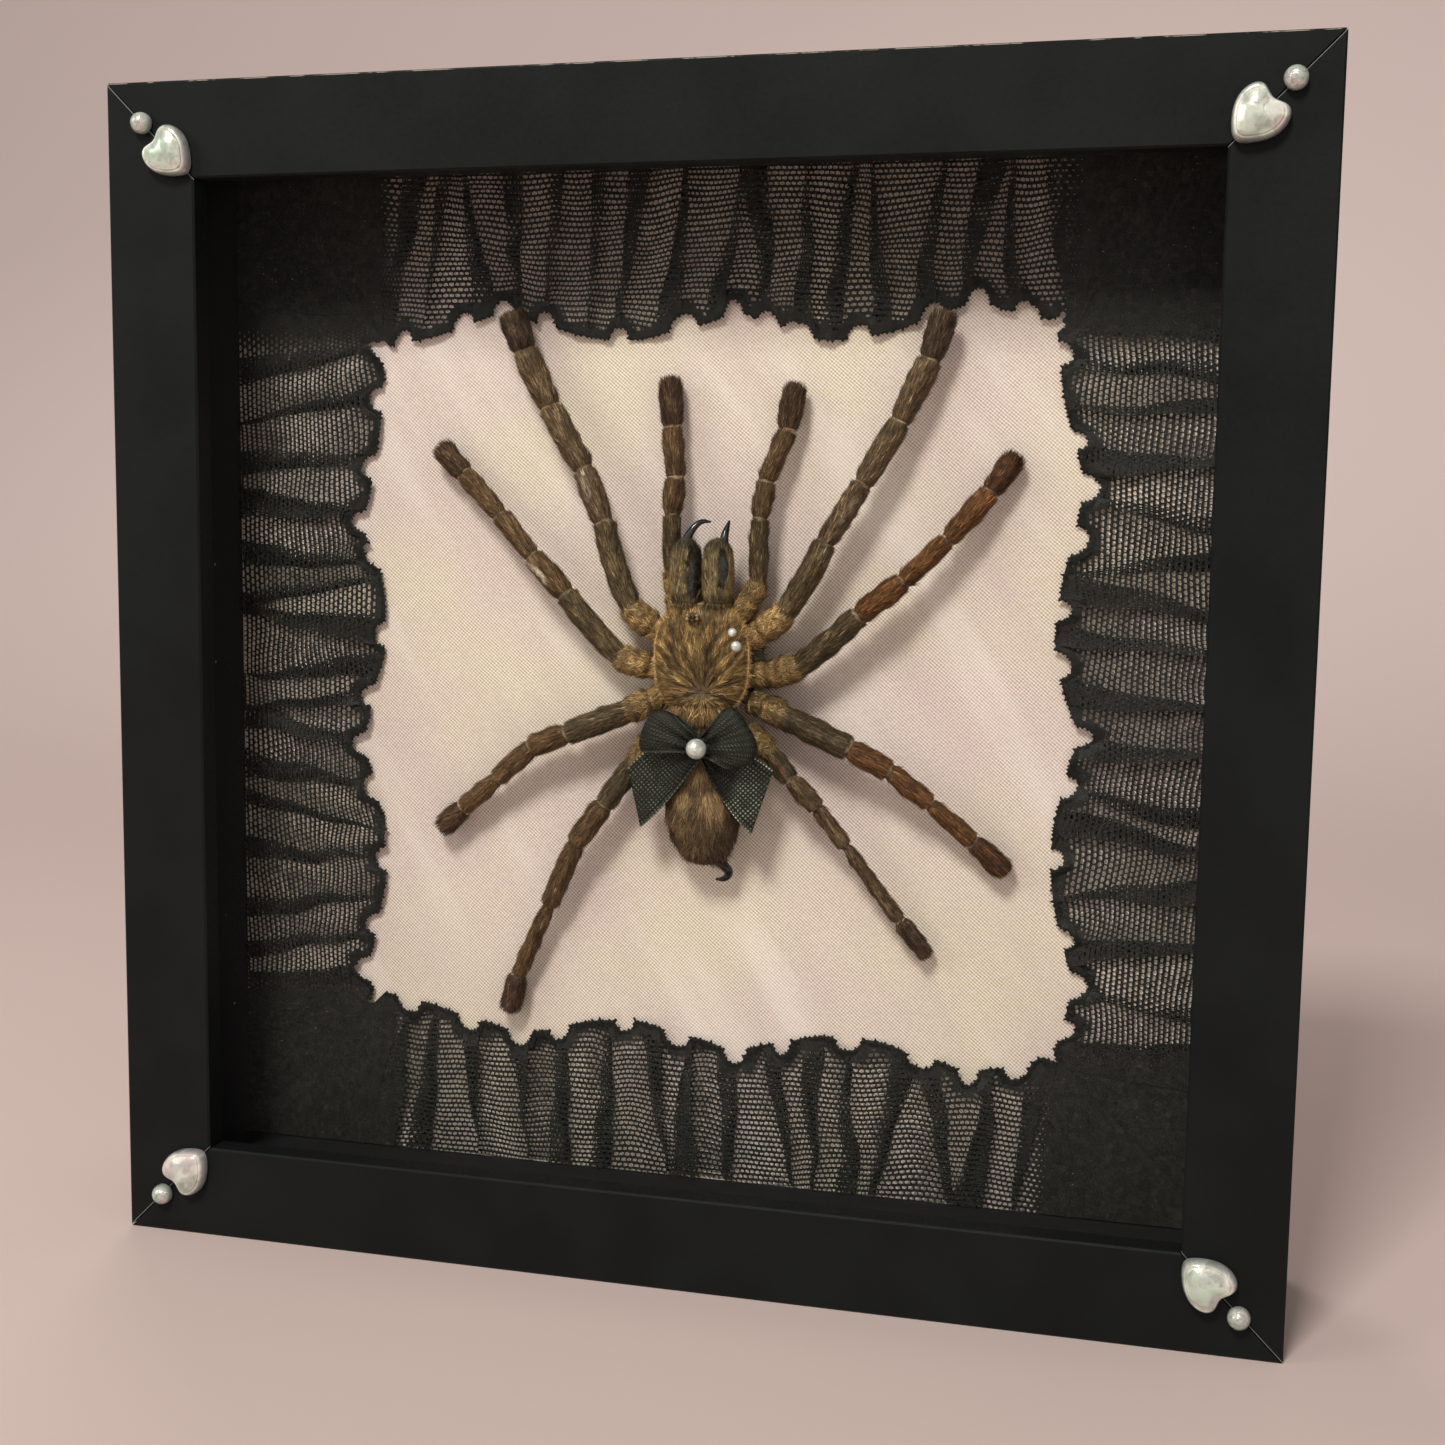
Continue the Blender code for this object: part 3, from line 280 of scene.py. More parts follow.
SPINNERET = (
    (4.2, -36.2, 7.0, 1.3),
    (5.6, -38.6, 6.0, 1.2),
    (6.7, -40.4, 5.0, 1.0),
    (5.6, -41.9, 4.4, 0.8),
    (3.6, -42.3, 4.0, 0.35),
)
CHELICERA_START = 17.95
CHELICERA_RINGS = ((0.15, 0.88), (3.5, 1.0), (8.0, 1.0), (11.0, 0.86), (12.6, 0.52))
CHELICERA_LENGTH = 13.2
CHELICERA_HALF = (3.5, 3.8)
CHELICERA_HEIGHT = 8.7
CHELICERA_INSET = (0.25, 0.3)  # at its sides, and at its top and underside
CHELICERA_GROOVE_DEPTH = 0.75
CHELICERA_AT = {"left": -2.65, "right": 4.3}
CHELICERA_SQUARENESS = 2.4
CHELICERA_HAIRS = 6000
BRISTLES = 500
CHELICERA_GROOVES = {  # across from the jaw's middle and half width, from and to above the jaw's start
    "left": (1.95, 1.25, 0.4, 11.8),
    "right": (1.45, 1.05, 2.4, 11.0),
}
FANGS = {  # each point ends with the radius there
    "left": (
        (-2.5, 29.6, 9.0, 1.1), (-2.3, 31.6, 8.8, 0.95), (-1.2, 33.6, 8.4, 0.75),
        (0.3, 34.9, 7.6, 0.55), (2.1, 34.9, 6.9, 0.22),
    ),
    "right": (
        (5.6, 29.6, 9.0, 1.1), (5.6, 31.6, 8.8, 0.9), (5.9, 33.4, 8.2, 0.65), (6.3, 35.2, 7.4, 0.22),
    ),
}

# Joints of each limb from the tip to the body, and the radius of each segment in that order.
LIMBS = {
    "leg_left_1": (
        ((-43.2, 78.8, 6.0), (-40.6, 71.0, 4.8), (-34.4, 58.7, 5.5), (-26.2, 45.6, 6.8),
         (-21.5, 34.5, 7.4), (-15.4, 15.9, 6.6), (-10.7, 12.0, 5.0), (-7.4, 10.2, 4.5)),
        (3.35, 3.15, 2.9, 2.85, 2.85, 3.1, 2.8),
    ),
    "leg_left_2": (
        ((-60.5, 50.1, 3.4), (-54.7, 44.3, 4.0), (-45.7, 35.5, 5.5), (-37.7, 26.7, 7.0),
         (-29.9, 18.8, 7.5), (-17.5, 5.4, 6.6), (-11.2, 3.4, 5.0), (-7.2, 3.2, 4.5)),
        (2.8, 2.45, 2.4, 2.75, 2.8, 3.0, 2.65),
    ),
    "leg_left_3": (
        ((-60.6, -34.6, 3.2), (-54.9, -29.6, 4.0), (-46.4, -22.3, 5.5), (-37.8, -14.8, 7.0),
         (-29.5, -11.4, 7.5), (-15.6, -6.0, 6.6), (-11.0, -3.6, 5.0), (-7.4, -2.6, 4.5)),
        (2.7, 2.4, 2.5, 2.75, 3.0, 2.9, 2.6),
    ),
    "leg_left_4": (
        ((-44.3, -75.2, 3.2), (-42.1, -67.0, 3.8), (-34.4, -50.3, 5.0), (-27.7, -35.6, 6.5),
         (-21.1, -26.7, 7.0), (-14.3, -17.3, 6.2), (-10.8, -11.6, 5.0), (-7.8, -8.7, 4.5)),
        (2.75, 2.15, 2.45, 2.8, 2.75, 2.6, 2.3),
    ),
    "leg_right_1": (
        ((50.4, 78.2, 5.4), (47.7, 68.6, 5.2), (41.8, 55.9, 6.5), (34.6, 43.2, 7.8),
         (27.1, 31.0, 8.2), (18.2, 15.8, 6.8), (13.2, 11.8, 5.0), (10.2, 10.2, 4.5)),
        (3.1, 3.05, 2.75, 2.7, 2.8, 3.1, 2.8),
    ),
    "leg_right_2": (
        ((65.6, 49.3, 3.2), (60.6, 41.9, 4.5), (52.3, 31.9, 6.5), (43.5, 23.3, 8.0),
         (34.5, 16.0, 8.5), (21.5, 4.6, 7.0), (14.4, 2.6, 5.0), (10.4, 2.6, 4.5)),
        (2.7, 2.65, 2.35, 2.7, 2.85, 3.0, 2.65),
    ),
    "leg_right_3": (
        ((65.9, -36.9, 3.1), (59.1, -30.7, 4.5), (50.0, -22.8, 6.5), (41.6, -16.2, 8.0),
         (33.1, -11.9, 8.5), (18.6, -5.8, 7.0), (13.8, -3.8, 5.0), (10.4, -3.0, 4.5)),
        (2.65, 2.2, 2.4, 2.7, 3.0, 2.9, 2.6),
    ),
    "leg_right_4": (
        ((49.8, -56.0, 2.6), (43.9, -48.6, 4.0), (32.3, -32.9, 6.0), (26.3, -24.8, 7.5),
         (20.6, -19.0, 8.0), (15.8, -13.8, 6.8), (12.4, -10.9, 5.2), (10.0, -9.1, 4.6)),
        (2.15, 1.75, 1.9, 2.3, 2.35, 2.3, 2.2),
    ),
    "palp_left": (
        ((-8.2, 65.0, 3.4), (-7.3, 54.8, 4.2), (-6.2, 44.0, 5.4), (-6.8, 36.2, 5.8),
         (-7.0, 24.0, 4.3), (-6.4, 18.8, 4.0), (-4.2, 13.4, 4.8)),
        (2.85, 2.5, 2.5, 2.3, 2.1, 2.4),
    ),
    "palp_right": (
        ((19.2, 63.7, 3.4), (17.8, 54.2, 4.4), (13.7, 43.5, 5.8), (12.6, 35.7, 6.4),
         (12.2, 21.8, 5.2), (10.0, 18.0, 4.8), (6.6, 14.2, 5.2)),
        (2.85, 2.4, 2.4, 2.3, 2.4, 2.9),
    ),
}
FEMUR = 4  # place of the femur among the segments of a leg
FEMUR_BOWS = {  # how far the middle of a femur stands to the right and up from a straight one
    "leg_left_1": (-0.5, -0.2),
    "leg_left_2": (-0.4, -0.4),
    "leg_right_1": (0.4, -0.2),
    "leg_right_2": (0.2, -0.2),
}
LEG_PROFILES = (  # share of the segment from its far end, share of its radius
    ((0.0, 0.06, 0.16, 0.34, 0.6, 0.88, 1.0), (0.54, 0.82, 0.96, 1.0, 0.99, 0.92, 0.82)),
    ((0.0, 0.07, 0.3, 0.6, 0.9, 1.0), (0.80, 0.94, 1.02, 0.97, 0.86, 0.78)),
    ((0.0, 0.05, 0.3, 0.75, 0.94, 1.0), (0.82, 0.95, 1.02, 0.98, 0.93, 0.84)),
    ((0.0, 0.07, 0.45, 0.85, 1.0), (0.86, 0.96, 1.02, 0.97, 0.87)),
    ((0.0, 0.05, 0.25, 0.65, 0.92, 1.0), (0.88, 0.97, 0.98, 1.02, 0.95, 0.90)),
    ((0.0, 0.25, 0.7, 1.0), (0.93, 1.07, 1.06, 0.96)),
    ((0.0, 0.3, 1.0), (0.97, 1.10, 1.08)),
)
PALP_PROFILES = (LEG_PROFILES[0], *LEG_PROFILES[2:])
FOOT_BROWN = (66, 50, 35)
SHIN_BROWN = (84, 65, 43)
THIGH_OLIVE = (76, 64, 44)
HIP_GOLD = (122, 98, 62)
LEG_RAMP = (FOOT_BROWN, *[SHIN_BROWN] * 3, THIGH_OLIVE, HIP_GOLD, HIP_GOLD)  # from tip to body
PALP_RAMP = (LEG_RAMP[0], *LEG_RAMP[2:])
LIMB_TONES = {  # how light a whole limb is beside the ramp, and how red it is beyond its femur
    "leg_left_1": (1.25, 0.9), "leg_right_1": (1.25, 0.9),
    "leg_left_2": (1.1, 1.0), "leg_right_2": (0.9, 1.3),
    "leg_left_3": (0.95, 1.05), "leg_right_3": (0.7, 1.3),
    "leg_left_4": (0.8, 1.05), "leg_right_4": (0.75, 0.95),
    "palp_left": (1.0, 1.0), "palp_right": (1.0, 1.0),
}
MEMBRANES = {True: (1, 2, 3, 4), False: (1, 2, 3)}  # joints with a pale membrane, for legs and palps
BALD = {  # limb, segment: share along it from and to, angle from the top, half angle, tint
    ("leg_left_1", 3): (0.08, 0.62, 0.15, 0.42, (150, 138, 118)),
    ("leg_left_2", 3): (0.10, 0.80, 0.50, 0.45, (186, 172, 146)),
    ("leg_right_1", 3): (0.20, 0.75, -0.35, 0.30, (130, 120, 96)),
    ("leg_right_1", 4): (0.02, 0.30, -0.30, 0.22, (122, 112, 88)),
    ("leg_right_4", 4): (0.30, 0.98, 0.10, 0.34, (98, 62, 48)),
}
JOINT_RINGS = (0.12, 0.28)  # rings close to a joint, beside the one on it
NO_JOINT_NEAR = 9.0
LIMB_ROUND = 2.6  # radius of the round on which a limb's noise is laid
LEG_HAIRS = 13000
PALP_HAIRS = 7500
STRAY_SHARE = 0.10

# Tints of the spider, as seen on a screen
CARAPACE_GOLD = (104, 83, 50)
CARAPACE_EDGE = (164, 128, 80)
CARAPACE_DARK = (44, 36, 24)
CARAPACE_LOW = (70, 54, 34)
FRONT_LINE = (196, 168, 118)
RIM_LINE = (198, 166, 112)
FRINGE_GOLD = (150, 118, 74)
REAR_BRUSH = (122, 96, 60)
# Dark brown of the body between the coxae, which also stands in as painted shade in the gaps between them
FLANK_DARK_AND_SHADE = (54, 43, 29)
EYE_MOUND_BROWN = (96, 70, 38)
ABDOMEN_BROWN = (76, 60, 40)
ABDOMEN_PALE_TINT = (120, 98, 66)
ABDOMEN_DARK_TINT = (46, 37, 27)
TUFT_DARK = (50, 37, 28)
JAW_BROWN = (104, 90, 62)
JAW_EDGE = (146, 124, 84)
JAW_FAR_END = (54, 50, 36)
JAW_NEAR_END = (60, 48, 32)
BRISTLE_DARK = (52, 46, 34)
TIP_MEMBRANE = (196, 172, 130)
BODY_MEMBRANE = (138, 120, 88)
GROOVE_BLACK = np.array((0.017, 0.018, 0.011))
FANG_BLACK = np.array((0.010, 0.011, 0.010))
SPINNERET_BLACK = np.array((0.010, 0.008, 0.008))

# Hairs of each kind: shortest and longest, thinnest and thickest
CARAPACE_HAIR = (0.9, 2.1, 0.13, 0.24)
FRINGE_HAIR = (0.6, 1.5, 0.10, 0.17)
REAR_HAIR = (1.8, 4.2, 0.12, 0.20)
FLANK_HAIR = (0.8, 2.0, 0.12, 0.20)
ABDOMEN_HAIR = (1.8, 3.8, 0.12, 0.22)
TUFT_HAIR = (1.4, 3.4, 0.09, 0.17)
CHELICERA_HAIR = (0.8, 1.9, 0.12, 0.22)
BRISTLE = (0.8, 1.7, 0.07, 0.12)
LIMB_HAIR = (1.3, 2.6, 0.13, 0.25)

SKIN, HAIR, HORN = 0, 1, 2  # places of the spider's materials on a piece
FORWARDS = np.array((0.0, 0.0, 1.0))  # towards the viewer
IN_PLANE = np.array((1.0, 1.0, 0.0))  # leaves out the height

# Rings or rows of a skin, and points in each
CARAPACE_GRID = (54, 120)
FLANK_GRID = (18, 72)
ABDOMEN_GRID = (46, 48)
CHELICERA_GRID = (60, 72)
LOOP_GRID = (81, 61)
TAIL_GRID = (51, 41)
KNOT_GRID = (26, 48)
PEARL_GRID = (26, 40)
DOME_GRID = (40, 96)
LIMB_SIDES = 28
FANG_SIDES = 16
SPINNERET_SIDES = 14
RIM_SIDES = 8

# Ribbon bow: the knot, the far rim of each loop and the two far corners of each tail
KNOT = (2.8, -12.0, 15.2)
KNOT_HALF = (2.5, 2.7, 1.7)
KNOT_SHARE = (0.92, 0.92, 0.95)  # of the CAD's knot, whose outline it stays inside
KNOT_CLOTH = (8, 12)
RIBBON_TINT = (0.0150, 0.0165, 0.0110)
# Painted glints of the weave: the ribbon's tint times these
RIBBON_PAINTED_GLINT = (15.0, 16.5, 19.0)
LOOP_PAINTED_SHADOW = {"left": 0.0, "right": 0.75}  # painted shadow that each loop casts on its tail: the right loop lies over its tail
# How much lighter each tail is painted, for the light that it catches
TAIL_PAINTED_SHEEN = {"left": 1.05, "right": 1.3}
RIBBON_WIDTH = 13.0
LOOP_CLOTH_LENGTH = 27.0
TAIL_CLOTH_LENGTH = 17.0
RIBBON_THICKNESS = 0.5
KNOT_RIBBON_HALF = 1.5
LOOP_RIMS = {  # far rim of each loop, from its upper corner to its lower one
    "left": ((-2.6, -5.7), (-5.6, -4.7), (-8.0, -5.4), (-9.6, -8.2), (-10.6, -11.4), (-10.2, -13.6)),
    "right": ((7.6, -3.9), (9.8, -3.5), (12.6, -6.6), (14.9, -11.4), (13.6, -14.9), (9.6, -16.6)),
}
LOOP_HALF_HEIGHT = 1.9
LOOP_FOLDS = 6
LOOP_PINCH = 0.35  # height of the loop at the knot, as a share of its full height
TAILS = {
    "left": ((-14.3, -17.8), (-11.8, -30.7)),
    "right": ((17.3, -16.9), (13.1, -30.6)),
}
TAIL_BULGE = {"left": 1.6, "right": 0.0}
TAIL_START = 1.0  # below the middle of the knot
TAIL_CLOTH = {"left": 100.0, "right": 200.0}  # where each tail starts on the ribbon
TAIL_PINCH = 0.16  # how far a tail has opened where it leaves the knot
TAIL_DROP = 2.8
BOW_PEARL_DIAMETER = 4.3
HEAD_PEARLS = {
    "head_pearl_upper": (8.8, 12.1, 1.9),
    "head_pearl_lower": (9.7, 9.2, 2.3),
}
HEAD_PEARL_BASE = 12.7
PEARL_FLAT = math.radians(-55)  # latitude where the glued flat begins


# Mesh helpers


def world(points):
    """Places (right, up, height above the satin) in millimetres, as places in the scene."""
    points = np.asarray(points, dtype=float)
    return stacked(points[..., 0], SATIN_Y - points[..., 2], MIDDLE_UP + points[..., 1]) * MM


def stacked(*parts):
    """Arrays side by side along a new last axis: coordinates as points, or corners as faces."""
    return np.stack(np.broadcast_arrays(*parts), axis=-1)


def unit(vectors):
    return vectors / np.maximum(np.linalg.norm(vectors, axis=-1, keepdims=True), 1e-9)


def rgb(red, green, blue):
    """A colour as seen on a screen, 0 to 255, as linear light."""
    seen = np.array((red, green, blue), dtype=float) / 255
    return np.where(seen <= 0.04045, seen / 12.92, ((seen + 0.055) / 1.055) ** 2.4)


def wobble(points, pitch, seed):
    """Smooth variation from about -1 to 1 over lengths near pitch, the same in each run."""
    rng = np.random.default_rng(seed)
    points = np.asarray(points, dtype=float)
    total = np.zeros(points.shape[:-1])
    waves = 9
    for _ in range(waves):
        direction = unit(rng.normal(size=points.shape[-1]))
        rate = 2 * math.pi / (pitch * rng.uniform(0.6, 1.6))
        total += np.sin(points @ direction * rate + rng.uniform(0, 2 * math.pi))
    return total / math.sqrt(waves / 2) / 1.6


def full_turn(count):
    """Angles of a full turn in equal steps."""
    return np.arange(count) / count * 2 * math.pi


def blend_to(tints, tint, share):
    """Tints moved towards another one by a share for each point."""
    return tints + (tint - tints) * share[..., None]


def facing_viewer(heading):
    """The direction across a hair that looks most towards the viewer."""
    return unit(np.cross(np.cross(heading, FORWARDS), heading))


def smoothstep(low, high, value):
    share = np.clip((value - low) / (high - low), 0, 1)
    return share * share * (3 - 2 * share)


def spline_rows(rows, samples):
    """Rows of a table interpolated smoothly, with the given number of samples in all."""
    rows = np.asarray(rows, dtype=float)
    padded = np.vstack((2 * rows[0] - rows[1], rows, 2 * rows[-1] - rows[-2]))
    spots = np.linspace(0, len(rows) - 1, samples)
    index = np.minimum(spots.astype(int), len(rows) - 2)
    share = (spots - index)[:, None]
    before, start, end, after = (padded[index + step] for step in range(4))
    return 0.5 * (
        2 * start
        + (end - before) * share
        + (2 * before - 5 * start + 4 * end - after) * share**2
        + (3 * start - before - 3 * end + after) * share**3
    )


class Shape:
    """Points, faces and a tint per point, gathered until they become one mesh."""

    def __init__(self):
        self.points, self.tints, self.faces, self.kinds, self.smooth = [], [], [], [], []
        self.count = 0

    def add(self, points, faces, tints, kind=0, smooth=True):
        points = np.asarray(points, dtype=float).reshape(-1, 3)
        self.points.append(points)
        self.tints.append(np.broadcast_to(np.asarray(tints, dtype=float), points.shape))
        self.add_faces(np.asarray(faces, dtype=int) + self.count, kind, smooth)
        self.count += len(points)

    def add_faces(self, faces, kind=0, smooth=True):
        """Faces between points that are in the shape already."""
        self.faces.append(faces)
        self.kinds.append(np.full(len(faces), kind))
        self.smooth.append(np.full(len(faces), smooth))

    def build(self, name, materials, cloth=None):
        """The mesh object, hung on the model's body. cloth is a second pair of coordinates per point."""
        mesh = bpy.data.meshes.new(name)
        points = world(np.concatenate(self.points))
        loops = np.concatenate([faces.ravel() for faces in self.faces])
        sizes = np.concatenate([np.full(len(faces), faces.shape[1]) for faces in self.faces])
        starts = np.concatenate(([0], np.cumsum(sizes)[:-1]))
        mesh.vertices.add(len(points))
        mesh.vertices.foreach_set("co", points.ravel())
        mesh.loops.add(len(loops))
        mesh.loops.foreach_set("vertex_index", loops)
        mesh.polygons.add(len(sizes))
        mesh.polygons.foreach_set("loop_start", starts)
        mesh.polygons.foreach_set("material_index", np.concatenate(self.kinds))
        mesh.polygons.foreach_set("use_smooth", np.concatenate(self.smooth))
        tint = mesh.color_attributes.new("tint", "FLOAT_COLOR", "POINT")
        colours = np.column_stack((np.concatenate(self.tints), np.ones(len(points))))
        tint.data.foreach_set("color", colours.ravel())
        if cloth is not None:
            layer = mesh.uv_layers.new(name="cloth")
            layer.data.foreach_set("uv", np.asarray(cloth)[loops].ravel())
        mesh.update(calc_edges=True)
        mesh.validate()
        for material in materials:
            mesh.materials.append(material)
        obj = bpy.data.objects.new(name, mesh)
        bpy.context.scene.collection.objects.link(obj)
        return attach(obj, "root")


def grid_faces(rows, columns, closed=False):
    """Quads of a grid of points counted row by row."""
    index = np.arange(rows * columns).reshape(rows, columns)
    if closed:
        index = np.column_stack((index, index[:, 0]))
    return stacked(index[:-1, :-1], index[:-1, 1:], index[1:, 1:], index[1:, :-1]).reshape(-1, 4)


def add_loft(shape, rings, first, last, tints, kind=0, face_kinds=None):
    """A closed skin over rings of points, with a pole at each end. Faces look outwards."""
    count, sides = rings.shape[:2]
    points = np.concatenate((rings.reshape(-1, 3), [first], [last]))
    colours = np.broadcast_to(tints, rings.shape)
    flat = np.concatenate((colours.reshape(-1, 3), [colours[0].mean(0)], [colours[-1].mean(0)]))
    quads = grid_faces(count, sides, closed=True)
    ring = np.arange(sides)
    turned = np.roll(ring, -1)
    tail = (count - 1) * sides
    first_cap = stacked(turned, ring, np.full(sides, count * sides))
    last_cap = stacked(tail + ring, tail + turned, np.full(sides, count * sides + 1))
    corners = points[quads[:, :3]] - points.mean(0)
    volume = np.einsum("ij,ij->i", corners[:, 0], np.cross(corners[:, 1], corners[:, 2])).sum()
    if volume < 0:
        quads, first_cap, last_cap = quads[:, ::-1], first_cap[:, ::-1], last_cap[:, ::-1]
    shape.add(points, quads, flat, kind if face_kinds is None else face_kinds)
    start = shape.count - len(points)
    for cap in (first_cap, last_cap):
        shape.add_faces(cap + start, kind)


def frames_along(centres):
    """Side and top of a path: the top leans towards the viewer."""
    ahead = unit(np.gradient(centres, axis=0))
    top = unit(FORWARDS - ahead * (ahead @ FORWARDS)[:, None])
    return np.cross(ahead, top), top


def tube_rings(centres, radii, sides, flatness=1.0):
    """Rings round a path. Angle 0 is on top, towards the viewer."""
    side, top = frames_along(centres)
    angles = full_turn(sides)
    radii = np.asarray(radii)
    if radii.ndim == 1:
        radii = radii[:, None]
    across = (radii * np.sin(angles))[..., None] * side[:, None]
    return centres[:, None] + across + (radii * flatness * np.cos(angles))[..., None] * top[:, None]


def scatter(rings, tints, count, density, rng):
    """Random spots on a lofted skin: place, outward normal, direction of rising rings, tint and ring."""
    sides = rings.shape[1]
    looped = np.concatenate((rings, rings[:, :1]), axis=1)
    colours = np.concatenate((tints, tints[:, :1]), axis=1)
    down = looped[1:] - looped[:-1]
    over = looped[:, 1:] - looped[:, :-1]
    normal = np.cross(down[:, :-1], over[:-1])
    area = np.linalg.norm(normal, axis=-1)
    middle = rings.mean(axis=1)[:-1, None]
    if np.einsum("ijk,ijk->", normal, looped[:-1, :-1] - middle) < 0:
        normal = -normal
    weight = (area * density[:-1]).ravel()
    chosen = rng.choice(weight.size, size=count, p=weight / weight.sum())
    row, side = np.divmod(chosen, sides)
    row_share, side_share = rng.random(count)[:, None], rng.random(count)[:, None]

    def blend(grid):
        near = grid[row, side] * (1 - side_share) + grid[row, side + 1] * side_share
        far = grid[row + 1, side] * (1 - side_share) + grid[row + 1, side + 1] * side_share
        return near * (1 - row_share) + far * row_share

    return (
        blend(looped),
        unit(normal[row, side]),
        unit(down[row, side]),
        blend(colours),
        row + row_share[:, 0],
        (side + side_share[:, 0]) / sides,
    )


def add_hairs(shape, roots, headings, normals, lengths, widths, tints, kind, bend=None):
    """Tapered blades that face outwards. A bent hair has a joint half way, and bend moves its tip."""
    count = len(roots)
    lengths = np.broadcast_to(lengths, (count,))[:, None]
    widths = np.broadcast_to(widths, (count,))[:, None]
    side = unit(np.cross(headings, normals)) * widths / 2
    if bend is None:
        points = np.stack((roots - side, roots + side, roots + headings * lengths), axis=1)
        faces = np.arange(count * 3).reshape(count, 3)
        shape.add(points, faces, np.repeat(tints, 3, axis=0), kind, smooth=False)
        return
    middle = roots + headings * lengths * 0.5 + bend * 0.25
    tip = roots + headings * lengths + bend
    points = np.stack((roots - side, roots + side, middle + side * 0.75, middle - side * 0.75, tip), axis=1)
    start = np.arange(count)[:, None] * 5
    quads = start + np.array((0, 1, 2, 3))
    tips = start + np.array((3, 2, 4))
    shape.add(points, quads, np.repeat(tints, 5, axis=0), kind, smooth=False)
    shape.add_faces(tips + shape.count - len(points) * 5, kind, smooth=False)


def add_coat(shape, rng, roots, headings, normals, hair, tints, spread=0.34, odd=0.22, scale=1.0, bend=None):
    """Hairs of one kind. Their lengths are drawn first, then their widths, then their tints."""
    shortest, longest, thinnest, thickest = hair
    count = len(roots)
    lengths = rng.uniform(shortest, longest, count) * scale
    widths = rng.uniform(thinnest, thickest, count)
    colours = hair_tints(np.broadcast_to(tints, roots.shape), rng, spread, odd)
    add_hairs(shape, roots, headings, normals, lengths, widths, colours, HAIR, bend=bend)


def dress(shape, piece, node_name, looks):
    """The finished piece, in the place of its CAD node."""
    obj = shape.build(piece, [MATERIALS[look] for look in looks])
    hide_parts(node_name)
    return obj


# Materials


def plug(tree, socket, value):
    """A value that is a socket is linked, and any other is set."""
    if isinstance(value, bpy.types.NodeSocket):
        tree.links.new(value, socket)
    else:
        socket.default_value = value


def node(tree, kind, settings=None, **inputs):
    """A node with its settings and inputs. Inputs without a name of their own are i0, i1 and so on."""
    made = tree.nodes.new(kind)
    for key, value in (settings or {}).items():
        setattr(made, key, value)
    for key, value in inputs.items():
        numbered = key[0] == "i" and key[1:].isdigit()
        plug(tree, made.inputs[int(key[1:]) if numbered else key.replace("_", " ")], value)
    return made


def material(name, roughness=0.5, metallic=0.0, specular=0.5, **more):
    made = bpy.data.materials.new(name)
    made.use_nodes = True
    shader = made.node_tree.nodes["Principled BSDF"]
    shader.inputs["Roughness"].default_value = roughness
    shader.inputs["Metallic"].default_value = metallic
    shader.inputs["Specular IOR Level"].default_value = specular
    for key, value in more.items():
        shader.inputs[key.replace("_", " ")].default_value = value
    return made, made.node_tree, shader


def place_of(tree):
    return node(tree, "ShaderNodeTexCoord").outputs["Object"]


def noise(tree, scale, detail=3.0, vector=None, rough=0.5):
    """Noise from 0 to 1. Scale is turns per metre."""
    inputs = {"Scale": scale, "Detail": detail, "Roughness": rough}
    inputs["Vector"] = vector if vector is not None else place_of(tree)
    return node(tree, "ShaderNodeTexNoise", None, **inputs).outputs["Fac"]


def maths(tree, operation, first, second=0.0, third=0.0):
    return node(tree, "ShaderNodeMath", {"operation": operation}, i0=first, i1=second, i2=third).outputs[0]


def remap(tree, value, low, high, to_low=0.0, to_high=1.0):
    made = node(tree, "ShaderNodeMapRange", {"interpolation_type": "SMOOTHSTEP"}, Value=value)
    for key, number in (("From Min", low), ("From Max", high), ("To Min", to_low), ("To Max", to_high)):
        made.inputs[key].default_value = number
    return made.outputs["Result"]


def mix(tree, share, first, second, blend="MIX"):
    made = node(tree, "ShaderNodeMix", {"data_type": "RGBA", "blend_type": blend})
    for index, value in ((0, share), (6, first), (7, second)):
        plug(tree, made.inputs[index], (*value, 1.0) if isinstance(value, tuple) else value)
    return made.outputs[2]


def layer(tree, base, colour, value, *ramp):
    """A colour over the base, as far as a value goes up its ramp."""
    return mix(tree, remap(tree, value, *ramp), base, colour)


def bump(tree, shader, height, distance, strength=1.0):
    made = node(tree, "ShaderNodeBump", None, Strength=strength, Distance=distance, Height=height)
    tree.links.new(made.outputs["Normal"], shader.inputs["Normal"])


def tint_of(tree):
    return node(tree, "ShaderNodeAttribute", {"attribute_name": "tint"}).outputs["Color"]


def parts_of(tree, place):
    return node(tree, "ShaderNodeSeparateXYZ", None, Vector=place).outputs


def ripple(tree, phase):
    """A sine from 0 to 1."""
    return maths(tree, "MULTIPLY_ADD", maths(tree, "SINE", phase), 0.5, 0.5)


def paint(tree, shader, base, rough=None):
    tree.links.new(base, shader.inputs["Base Color"])
    if rough is not None:
        tree.links.new(rough, shader.inputs["Roughness"])


def tinted(tree, shader, scale, low, high, detail=3.0):
    """The mesh's own tint, darkened and lightened by fine noise."""
    tint = tint_of(tree)
    grain = remap(tree, noise(tree, scale, detail), 0.25, 0.75, low, high)
    shade = node(tree, "ShaderNodeCombineColor", None, Red=grain, Green=grain, Blue=grain).outputs["Color"]
    paint(tree, shader, mix(tree, 1.0, tint, shade, "MULTIPLY"))
    return grain


